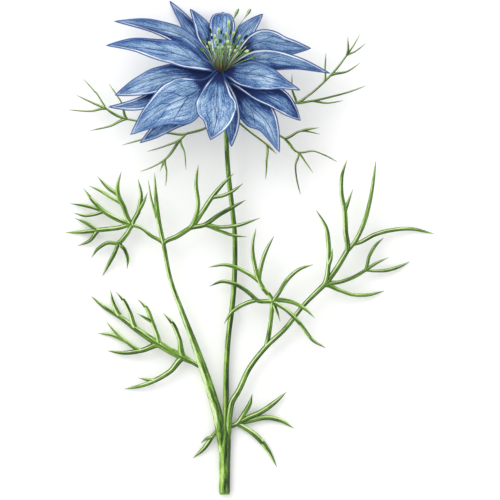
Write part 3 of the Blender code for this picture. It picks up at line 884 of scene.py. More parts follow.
PETALS = {
    "petal_01": PetalShape(1, ((203, 54, 11.0), (185, 37.5, 9.0), (155, 28, 8.0), (114, 21, 5.0)),
                           (5, 6, 8, 8), (8, 11, 9, 4.5), lean=-0.8, rim=-1.0),
    "petal_02": PetalShape(0, ((200, 63, 15.6), (172, 53, 15.2), (140, 48, 13.8), (106, 45.5, 11.0)),
                           (6, 13, 11, 9), (6.5, 10.8, 10.5, 4), lean=0.35, rim=-1.0),
    "petal_03": PetalShape(2, ((200, 74.5, 14.2), (172, 75.5, 13.6), (143, 82.5, 13.0), (115, 95.5, 11.5)),
                           (6, 10.5, 11, 7), (7, 12, 13.5, 12), rim=-1.0),
    "petal_04": PetalShape(3, ((190, 84, 10.8), (160, 97, 11.3), (135, 105, 11.0), (108.5, 107, 9.5)),
                           (5, 8, 8, 5), (5, 7, 7, 5), Tone.MIDDLE),
    "petal_05": PetalShape(0, ((204, 86, 17.5), (185, 98, 18.5), (160, 110, 18.0), (130.5, 135, 15.0)),
                           (5.5, 18.5, 21, 12.5), (11.5, 19.8, 25.5, 14), rim=0.6, root=0.95),
    "petal_06": PetalShape(2, ((200, 95, 15.2), (180, 114, 15.6), (159, 130, 14.5), (140, 143, 12.5)),
                           (8, 12, 12, 7), (12, 15, 10, 6), rim=0.3, root=0.5),
    "petal_07": PetalShape(0, ((217, 92, 20.8), (216, 108, 22.8), (216, 123, 22.8), (210.5, 140.5, 20.5)),
                           (12.5, 20, 18.5, 11), (12, 20.8, 20.5, 11.5)),
    "petal_08": PetalShape(1, ((228, 95, 17.6), (231, 112, 18.8), (232.5, 130, 18.6), (231.5, 147, 17.0)),
                           (6, 9, 9, 6), (6, 9, 8.5, 5), Tone.DEEP, rim=-1.0),
    "petal_09": PetalShape(3, ((238, 90.5, 14.7), (252, 107, 16.2), (268, 124, 16.6), (279.5, 152.5, 13.5)),
                           (7.5, 15.5, 17.5, 10), (7, 15, 15.5, 9), rim=-0.8),
    "petal_10": PetalShape(2, ((243.5, 87, 17.0), (264, 95, 18.4), (284, 105, 18.2), (300.5, 121, 16.0)),
                           (4, 8, 9, 8.5), (6, 10, 14, 9), Tone.DEEP, lean=-0.6),
    "petal_11": PetalShape(0, ((242, 74, 17.8), (262, 76.5, 20.4), (282, 82, 20.6), (300, 90.5, 18.2)),
                           (11, 14, 12.5, 7), (10, 14, 9.5, 3.5), rim=0.8),
    "petal_12": PetalShape(1, ((245, 62, 15.6), (268, 60, 16.6), (294, 64, 15.8), (330, 73.5, 13.5)),
                           (8, 14, 10.5, 4.5), (6, 10.5, 10, 7), lean=0.8, rim=-0.8),
    "petal_13": PetalShape(2, ((246, 50, 12.6), (262, 42, 12.4), (284, 45, 12.2), (311, 48.5, 10.5)),
                           (7, 13, 13, 10), (6, 11, 12, 7), lean=0.4, rim=-0.8),
    "petal_14": PetalShape(2, ((233, 54, 10.0), (241, 38, 6.8), (250.5, 26, 4.4), (263, 13.5, 1.6)),
                           (5, 8, 9, 6), (5, 8, 9, 6), rim=0.9),
    "petal_15": PetalShape(0, ((222, 56, 12.6), (221.5, 42, 9.6), (222, 27, 6.4), (222, 12.5, 3.4)),
                           (7, 10.5, 12, 12.5), (7, 10.5, 12, 12.5), Tone.MIDDLE, 9.0, 0.5),
    "petal_16": PetalShape(2, ((214, 54, 9.8), (208, 40, 7.2), (200.5, 24, 4.4), (190, 8.5, 2.0)),
                           (4, 7, 9, 6), (4, 7.5, 9, 6), Tone.MIDDLE, rim=-0.9),
    "petal_17": PetalShape(3, ((208, 54, 8.2), (197, 38, 4.0), (184.5, 20, 1.3), (169.5, 0.5, 0.3)),
                           (4, 7, 8, 5), (4, 7, 8, 5), lean=0.7, rim=0.9),
}


@dataclass(frozen=True)
class PetalSizes:
    """How petals are made and shaded, with sizes in mm unless their names say px."""

    rows: int = 76
    columns: int = 41
    crowding: float = 1.35
    thickness: float = 0.2
    edge_thickness: float = 0.06
    root_px: float = 3.2
    least_px: float = 0.05
    uneven: float = 0.035
    groove: float = 0.12
    groove_width: float = 0.45
    ripple: float = 0.22
    ripples: float = 9.0
    root_painted_shade: float = 0.34
    whorl_painted_shade: float = 0.24
    shade_reach: float = 5.0
    shade_rays: int = 14
    shade_spread: float = 0.82
    shade_start: float = 0.12


class Petal:
    """One petal's sheet of points, in rows from root to tip and columns from left to right."""

    def __init__(self, number: int, shape: PetalShape, head: Head, sizes: PetalSizes) -> None:
        """Lays out the sheet.

        Args:
            number: Its number, from 1.
            shape: Its drawn shape.
            head: The flower's head.
            sizes: How it is made.
        """
        self.number = number
        self.shape = shape
        self.sizes = sizes
        spine = head.plan.path(shape.spine)
        spine = np.vstack((head.petal_root(shape.whorl, spine[-1]), spine))
        self.v = 1 - (1 - np.linspace(0, 1, sizes.rows)) ** sizes.crowding
        self.u = np.sin(np.linspace(-1, 1, sizes.columns) * math.pi / 2)
        before, after = np.maximum(self.v - 0.02, 0), np.minimum(self.v + 0.02, 1)
        ahead = self.read(spine, after) - self.read(spine, before)
        across = unit(np.stack((ahead[:, 1], -ahead[:, 0], np.zeros(len(ahead))), axis=1))
        self.side = self.by_side(self.widths(shape.right), self.widths(shape.left)) * self.u
        self.sheet = self.read(spine, self.v)[:, None] + across[:, None] * self.side[:, :, None]
        if shape.notch:
            self.bend_tip(ahead)
        self.sheet[:, :, 2] += self.lift(head.sizes.cup)

    def by_side(self, right: np.ndarray, left: np.ndarray) -> np.ndarray:
        """A grid that has one value a row on the right side and another on the left."""
        return np.where(self.u > 0, right[:, None], left[:, None])

    def lift(self, cup: float) -> np.ndarray:
        """How far the petal's cup, groove and waves raise each point.

        Args:
            cup: How far the edges stand up, in mm.

        Returns:
            Heights in mm.
        """
        sizes, out = self.sizes, np.abs(self.u)
        bell = np.sin(math.pi * np.minimum(self.v * 1.1, 1))[:, None]
        groove = sizes.groove * np.exp(-(self.side / sizes.groove_width) ** 2)
        right = wobble(self.number * 3.7, self.v * sizes.ripples)
        left = wobble(self.number * 5.1 + 40, self.v * sizes.ripples)
        grown = np.clip(self.v * 3, 0, 1)[:, None]
        waves = sizes.ripple * self.by_side(right, left) * out ** 3 * grown
        return cup * out ** 2 * bell - groove + waves

    @staticmethod
    def read(spine: np.ndarray, where: np.ndarray) -> np.ndarray:
        """Points along the spine."""
        return np.stack([stations_through(spine[:, i], where) for i in range(3)], axis=1)

    def widths(self, stations: tuple[float, ...]) -> np.ndarray:
        """Half-widths in mm for every row.

        Args:
            stations: The drawn half-widths in px.

        Returns:
            Half-widths with a slightly uneven edge.
        """
        sizes, tip = self.sizes, self.shape.tip
        wide = stations_through((sizes.root_px, *stations, tip), self.v)
        seed = self.number * 7.3 + stations[0]
        wide *= 1 + sizes.uneven * wobble(seed, self.v * 7) * np.clip((1 - self.v) * 8, 0, 1)
        if self.shape.notch:
            wide = np.maximum(wide, tip)
            close = np.sqrt(1 - np.clip((self.v - 0.9) / 0.1, 0, 1) ** 2.6)
        else:
            wide = np.maximum(wide, sizes.least_px)
            close = np.sqrt(np.clip((1 - self.v) * 26, 0, 1))
        return wide * MM_PER_PX * np.maximum(close, 0.12)

    def bend_tip(self, ahead: np.ndarray) -> None:
        """Gives the square-ended petal its two corners and the bump between them.

        Args:
            ahead: The spine's direction by row.
        """
        end = np.clip((self.v - 0.72) / 0.28, 0, 1)[:, None] ** 1.6
        out = self.u[None, :]
        bump = 0.55 * np.exp(-((out - 0.2) / 0.4) ** 2) - 0.3 * np.exp(-((out + 0.4) / 0.25) ** 2)
        self.sheet += unit(ahead)[:, None, :] * (end * bump * self.shape.notch)[:, :, None]

    def normals(self) -> np.ndarray:
        """The sheet's upward normals.

        Returns:
            One unit vector for each point.
        """
        down = np.gradient(self.sheet, axis=0)
        over = np.gradient(self.sheet, axis=1)
        return unit(np.cross(over, down) + np.array((0.0, 0.0, 1e-9)))

    def edge(self) -> np.ndarray:
        """How far each point is from the petal's outline.

        Returns:
            Distances in mm.
        """
        sheet = self.sheet
        rim = np.concatenate((sheet[:, 0], sheet[-1, 1:-1], sheet[::-1, -1]))
        start, way = rim[:-1], np.diff(rim, axis=0)
        square = np.maximum((way ** 2).sum(axis=1), 1e-12)
        result = np.empty(sheet.shape[:2])
        for row, points in enumerate(sheet):
            offset = points[:, None, :] - start[None]
            share = np.clip((offset * way[None]).sum(axis=2) / square, 0, 1)
            gap = offset - share[:, :, None] * way[None]
            result[row] = np.sqrt((gap ** 2).sum(axis=2)).min(axis=1)
        return result

    def shell(self) -> tuple[np.ndarray, list[Face]]:
        """The sheet's closed skin.

        Returns:
            Its points in mm, the upper side first, and its faces, turned outwards.
        """
        rows, columns = self.sheet.shape[:2]
        near_tip = np.clip((self.v - 0.9) / 0.1, 0, 1)[:, None]
        thin = np.maximum(np.abs(self.u) ** 3, near_tip)
        half = (self.sizes.thickness * (1 - thin) + self.sizes.edge_thickness * thin) / 2
        push = self.normals() * half[:, :, None]
        points = np.concatenate(((self.sheet + push).reshape(-1, 3), (self.sheet - push).reshape(-1, 3)))
        under = rows * columns
        faces = grid_faces(rows, columns)
        faces += [tuple(number + under for number in reversed(face)) for face in faces]
        grid = np.arange(under).reshape(rows, columns)
        outline = (grid[0, :-1], grid[:-1, -1], grid[-1, :0:-1], grid[:0:-1, 0])
        loop = np.concatenate(outline).tolist()
        faces += [(a, a + under, b + under, b) for a, b in zip(loop, loop[1:] + loop[:1])]
        return points, faces


class Corolla:
    """All the petals, each with painted shade where its neighbours cover it."""

    golden_angle = 2.39996
    light_way = Vector((-0.15, 0.15, 0.62))

    def __init__(self, head: Head, sizes: PetalSizes, finish: bpy.types.Material) -> None:
        """Lays the petals out.

        Args:
            head: The flower's head.
            sizes: How petals are made.
            finish: The petals' material.
        """
        self.sizes = sizes
        self.finish = finish
        self.petals = {node: Petal(number, shape, head, sizes)
                       for number, (node, shape) in enumerate(PETALS.items(), start=1)}
        self.tree = self.cover()
        self.rays = self.sky()

    def cover(self) -> BVHTree:
        """Lays every petal's sheet in one search tree.

        Returns:
            The tree, in mm.
        """
        points, faces = [], []
        for petal in self.petals.values():
            start = len(points)
            cells = grid_faces(*petal.sheet.shape[:2])
            faces.extend(tuple(start + number for number in cell) for cell in cells)
            points.extend(petal.sheet.reshape(-1, 3).tolist())
        return BVHTree.FromPolygons(points, faces)

    def sky(self) -> list[Vector]:
        """Spreads directions evenly over the sky, leaning towards the key light.

        Returns:
            The directions, each of length one.
        """
        rays = []
        for number in range(self.sizes.shade_rays):
            lean = math.sqrt((number + 0.5) / self.sizes.shade_rays) * self.sizes.shade_spread
            turn = number * self.golden_angle
            ray = Vector((lean * math.cos(turn), lean * math.sin(turn), 0)) + self.light_way
            rays.append(ray.normalized())
        return rays

    def covered(self, point: np.ndarray) -> float:
        """Looks up from one point.

        Args:
            point: The point in mm.

        Returns:
            How much of the sky is covered, from 0, open, to 1.
        """
        reach = self.sizes.shade_reach
        start = Vector(point) + Vector((0, 0, self.sizes.shade_start))
        hits = [self.tree.ray_cast(start, ray, reach)[3] for ray in self.rays]
        return sum(1 - distance / reach for distance in hits if distance is not None) / len(hits)

    def shade(self, petal: Petal) -> np.ndarray:
        """How much of the sky is covered all over a petal, read at every second point.

        Args:
            petal: The petal to read.

        Returns:
            Values from 0, open, to 1, covered.
        """
        coarse = np.array([[self.covered(point) for point in row] for row in petal.sheet[::2, ::2]])
        rows, columns = (np.arange(count) / 2 for count in petal.sheet.shape[:2])
        tall = np.array([np.interp(rows, np.arange(len(line)), line) for line in coarse.T]).T
        return np.array([np.interp(columns, np.arange(len(line)), line) for line in tall])

    def build(self) -> None:
        """Makes and dresses every petal."""
        for node, petal in self.petals.items():
            points, faces = petal.shell()
            rows, columns = petal.sheet.shape[:2]
            across, along = np.tile(petal.u, rows), np.repeat(petal.v, columns)
            values = {"across": across, "along": along, "side": petal.side.ravel(),
                      "edge": petal.edge().ravel(), "shade": self.shade(petal).ravel()}
            shape = petal.shape
            # Painted shade towards the root, stronger for lower whorls, which lie under the others.
            base = self.sizes.root_painted_shade + self.sizes.whorl_painted_shade * shape.whorl
            same = {"seed": petal.number * 3.17, "tone": shape.tone.value, "lean": shape.lean,
                    "rim": shape.rim, "root": shape.root, "base": base}
            values.update((key, np.full(len(across), value)) for key, value in same.items())
            maker = MeshMaker(f"{node}_blade")
            uv = np.tile(np.stack((across * 0.5 + 0.5, along), axis=1), (2, 1))
            maker.add(points, faces, uv, {key: np.tile(row, 2) for key, row in values.items()})
            settle(maker.finish([self.finish]), "petal", node)


@dataclass(frozen=True)
class ShootSizes:
    """How stems and leaflets are made, sizes in mm."""

    step: float = 0.42
    fewest: int = 8
    sides: int = 12
    flat: float = 0.7
    swell: float = 0.16
    tip: float = 0.045
    tip_length: float = 1.8


@dataclass
class Shoot:
    """Sweeps rounded, tapering shoots into one mesh.

    Attributes:
        light: Where the painted light comes from, across and up the drawing.
        least_facing: How far a shoot's painted highlight side always leans from its middle.
        maker: The piece's mesh.
        sizes: How it is made.
        number: How many shoots are in it so far.
    """

    light = np.array((-0.62, 0.78))
    least_facing = 0.6
    maker: MeshMaker
    sizes: ShootSizes
    number: int = 0

    def sweep(self, path: np.ndarray, pointed: bool = True, seed: float = 0.0) -> None:
        """Adds one shoot.

        Args:
            path: Rows of place and radius in mm.
            pointed: Whether its end is a fine tip.
            seed: Sets its streaks apart.
        """
        sizes, n = self.sizes, self.sizes.sides
        length = np.linalg.norm(np.diff(path[:, :3], axis=0), axis=1).sum()
        count = max(int(length / sizes.step), sizes.fewest)
        rows = curve_through(path, count)
        centre, radius = rows[:, :3], rows[:, 3]
        t = np.linspace(0, 1, count)
        if pointed:
            radius = radius * (1 + sizes.swell * np.sin(math.pi * np.clip(t * 1.25 - 0.1, 0, 1)))
            close = np.sqrt(length * (1 - t) / sizes.tip_length)
            radius = np.maximum(radius * np.clip(close, 0, 1), sizes.tip)
        ahead = unit(np.gradient(centre, axis=0))
        side = unit(np.stack((ahead[:, 1], -ahead[:, 0], np.zeros(count)), axis=1))
        up = np.cross(side, ahead)
        turn = around(n)
        wide = side[:, None] * np.cos(turn)[:, None]
        tall = up[:, None] * np.sin(turn)[:, None] * sizes.flat
        ring = centre[:, None] + (wide + tall) * radius[:, None, None]
        start = centre[0] - ahead[0] * radius[0] * 0.3
        end = centre[-1] + ahead[-1] * radius[-1] * 0.6
        facing = -(side[:, :2] @ self.light)
        facing = np.where(facing < 0, -1.0, 1.0) * np.maximum(np.abs(facing), self.least_facing)
        # The first value paints light on the side facing the light and shade on the far side.
        values = {
            "painted_light": np.append(np.repeat(facing, n) * -np.tile(np.cos(turn), count), (0, 0)),
            "along": np.append(np.repeat(t * length, n), (0, length)),
            "lift": np.append(np.tile(np.sin(turn), count), (0, 0)),
            "seed": np.full(count * n + 2, seed + self.number * 1.93),
        }
        uv = np.stack((values["painted_light"] * 0.5 + 0.5, values["along"] * 0.1), axis=1)
        self.maker.add(np.vstack((ring.reshape(-1, 3), start, end)), tube_faces(count, n), uv, values)
        self.number += 1

    def fork(self, plan: Plan, branches: Sequence[tuple[Spot, ...]], seed: float) -> None:
        """Adds branches that leave each other smoothly.

        Args:
            plan: The drawing's plan.
            branches: Each branch's spots in px and mm with radii.
            seed: Sets the piece's streaks apart.
        """
        placed = []
        for branch in branches:
            radii = np.array([[spot[3]] for spot in branch])
            placed.append(np.hstack((plan.path(branch), radii)))
        starts = [path[0, :3] for path in placed]
        for index, path in enumerate(placed):
            goes_on = any(np.allclose(path[-1, :3], start) for start in starts)
            if index > 0:
                path = self.lead_in(path, placed)
            self.sweep(path, not goes_on, seed)

    @staticmethod
    def lead_in(path: np.ndarray, placed: list[np.ndarray]) -> np.ndarray:
        """Starts a branch a little back inside the shoot that it leaves.

        Args:
            path: The branch.
            placed: All the branches.

        Returns:
            The branch with one more row before its fork.
        """
        start, radius = path[0, :3], path[0, 3]
        for other in placed:
            for row in range(1, len(other)):
                if np.allclose(other[row, :3], start) and other is not path:
                    back = unit(other[row - 1, :3] - start)
                    before = (*(start + back * min(1.3, 2.2 * radius)), radius * 0.75)
                    away = (*(start + back * 0.2), radius * 0.9)
                    return np.vstack((before, away, path[1:]))
        return path


# The stem: px, height and radius in mm, from the cut end up.
STEM = (
    (224.5, 493, 1.13, 1.3), (224.8, 462, 1.2, 1.3), (225.3, 437, 1.3, 1.3), (225.5, 428, 1.4, 1.1),
    (225.7, 417, 1.5, 0.75), (226, 395, 1.6, 0.68), (226.6, 362.5, 1.8, 0.65), (229, 331, 2.1, 0.64),
    (231.6, 312, 2.3, 0.63), (234, 286, 2.7, 0.62), (235, 260, 3.2, 0.60), (234.7, 235, 3.9, 0.58),
    (231.6, 203, 5.0, 0.57), (228.4, 173.6, 6.3, 0.56), (226.4, 139, 8.1, 0.56), (226, 105, 10.2, 0.58),
    (224.8, 91, 11.5, 0.62),
)

# The bracts' forks, as px across and down, height and radius in mm.
B_LEFT = (127.5, 119, 6.6, 0.28)
B_LEFT_FORK = (107, 109, 5.0, 0.24)
B_LOW_FORK = (186, 134, 8.4, 0.28)
B_LOW_NODE = (181, 139, 8.0, 0.26)
B_LOW_END = (165.5, 159, 6.0, 0.22)
B_RIGHT = (295.5, 103, 8.0, 0.28)
B_RIGHT_LOW = (311.5, 101, 7.0, 0.24)
B_RIGHT_MID = (324, 82, 6.9, 0.26)
B_RIGHT_OUT = (330, 76, 6.6, 0.26)
B_RIGHT_TOP = (346.5, 55.5, 5.6, 0.22)
B_CORNER = (284, 138, 7.4, 0.28)
B_CORNER_END = (298, 152, 6.2, 0.24)
B_CORNER_SIDE = (300.5, 131, 6.6, 0.22)
B_BELOW = (265, 143, 7.6, 0.24)

# Each bract's branches. A branch starts at a fork of the one that it leaves, and a spot without a
# radius is a fine tip.
BRACTS = {
    "bract_left": (
        ((220.6, 94, 10.8, 0.3), (195, 108, 10.0, 0.3), (165, 114, 8.4, 0.3), (140, 121, 7.2, 0.28), B_LEFT),
        (B_LEFT, (110, 126, 4.8, 0.2), (90, 130.5, 2.6)),
        (B_LEFT, (121.5, 103, 6.6, 0.2), (109, 84, 7.2)),
        (B_LEFT, B_LEFT_FORK, (96, 93, 4.6, 0.18), (83.5, 79, 4.2)),
        (B_LEFT_FORK, (91, 102, 3.8, 0.18), (75.5, 94.5, 2.4)),
        (B_LEFT_FORK, (90.5, 111, 3.2, 0.18), (67.6, 109.5, 1.0)),
    ),
    "bract_lower_left": (
        ((221, 104, 9.8, 0.3), (207, 127, 9.2, 0.3), B_LOW_FORK),
        (B_LOW_FORK, (165, 133, 7.6, 0.24), (140, 140, 6.0, 0.2), (122, 145, 4.6)),
        (B_LOW_FORK, B_LOW_NODE, (165, 146, 6.8, 0.18), (147, 151.5, 5.0)),
        (B_LOW_NODE, (184.5, 153, 6.4, 0.18), (186, 170, 4.6)),
        (B_LOW_NODE, B_LOW_END, (152, 167, 4.4, 0.16), (140, 171.5, 2.8)),
        (B_LOW_END, (160, 171, 4.2)),
        (B_LOW_END, (166.5, 172, 4.2, 0.16), (165.5, 186, 2.0)),
    ),
    "bract_right": (
        ((230.8, 94, 10.8, 0.3), (262, 100, 9.6, 0.3), B_RIGHT),
        (B_RIGHT, (292, 89, 7.9, 0.2), (292, 74, 7.6)),
        (B_RIGHT, (309, 95, 7.4, 0.26), B_RIGHT_MID, B_RIGHT_OUT, (338, 67, 6.0, 0.24), B_RIGHT_TOP),
        (B_RIGHT_MID, (325, 68, 7.0, 0.18), (326, 53, 7.4)),
        (B_RIGHT_OUT, (348, 71, 5.0, 0.18), (360, 63, 3.6)),
        (B_RIGHT_TOP, (348, 36, 5.6)),
        (B_RIGHT_TOP, (352.5, 47, 4.8, 0.16), (360, 34.5, 3.8)),
        (B_RIGHT_TOP, (355, 51.5, 4.6, 0.16), (366, 43, 3.0)),
        (B_RIGHT, B_RIGHT_LOW, (334, 96, 5.2, 0.2), (350, 91.5, 4.0, 0.18), (366, 85.5, 2.4)),
        (B_RIGHT_LOW, (327, 103, 5.2, 0.16), (343, 100.5, 3.6)),
    ),
    "bract_lower_right": (
        ((230.8, 104, 9.8, 0.3), (256, 121, 8.8, 0.3), B_CORNER),
        (B_CORNER, B_CORNER_SIDE, (320, 134, 4.4)),
        (B_CORNER_SIDE, (319, 127.5, 5.0)),
        (B_CORNER, B_CORNER_END, (314.5, 151, 4.8, 0.18), (325, 155, 3.8, 0.18), (337, 161.5, 2.2)),
        (B_CORNER_END, (306, 163, 4.6, 0.18), (313, 172.5, 2.8)),
        (B_CORNER_END, (295.5, 166, 4.6, 0.18), (297, 180, 3.0, 0.16), (300.5, 194.5, 1.2)),
    ),
    "bract_below": (
        ((226.2, 108, 8.6, 0.28), (242, 125, 8.4, 0.26), B_BELOW),
        (B_BELOW, (266.5, 163, 5.6, 0.2), (265.7, 179, 3.2)),
        (B_BELOW, (277, 154, 6.2)),
    ),
}

# The leaves' forks, written in the same way. A is the left upper leaf, B the left lower one, C the
# right upper one, D the right middle one, and E and F are the right and the left base leaf.
A_FORK = (163.5, 244, 5.8, 0.5)
A_SPIKE = (158.5, 221, 6.7, 0.52)
A_HUB = (133, 225, 5.0, 0.5)
A_LOBE_A = (138.5, 211, 6.2, 0.47)
A_LOBE_B = (122.5, 204.5, 4.9, 0.49)
A_LOBE_B_TOP = (118.5, 196, 4.8, 0.46)
A_LOBE_C = (104, 211.5, 3.6, 0.47)
A_LOBE_D = (99, 230, 2.6, 0.47)
A_LOBE_E = (119, 242.5, 3.8, 0.47)
A_INNER = (190, 228, 6.6, 0.58)
A_INNER_MID = (211, 198.5, 8.0, 0.46)
A_INNER_LOW = (204, 225, 6.8, 0.49)
B_STEP_1 = (184, 358, 3.0, 0.7)
B_STEP_2 = (160, 345, 3.2, 0.66)
B_STEP_3 = (136, 329, 2.6, 0.58)
B_STEP_4 = (121.5, 318, 1.8, 0.5)
B_SIDE_LOW = (142, 350.5, 2.6, 0.46)
B_SIDE_FAR = (125, 341, 1.6, 0.38)
B_SIDE_TOP = (152, 322, 3.8, 0.42)
B_TAIL = (156, 380, 2.2, 0.44)
C_FORK = (324, 285, 5.2, 0.64)
C_TOP = (347, 251, 5.4, 0.61)
C_SPIKE = (344.8, 212, 6.4, 0.5)
C_ARM = (353, 244.5, 4.9, 0.49)
C_TAIL = (328.4, 266, 6.0, 0.49)
C_SIDE = (365, 270.5, 3.2, 0.36)
D_HUB = (272.5, 302.5, 5.2, 0.56)
D_LEFT = (260, 283, 6.0, 0.47)
D_LOW = (257.5, 300.5, 5.4, 0.47)
E_FORK = (237, 424, 1.05, 0.45)
F_FORK = (211.5, 438, 1.3, 0.42)

# The radius at the root of the wider leaflets.
LEAFLET = 0.5

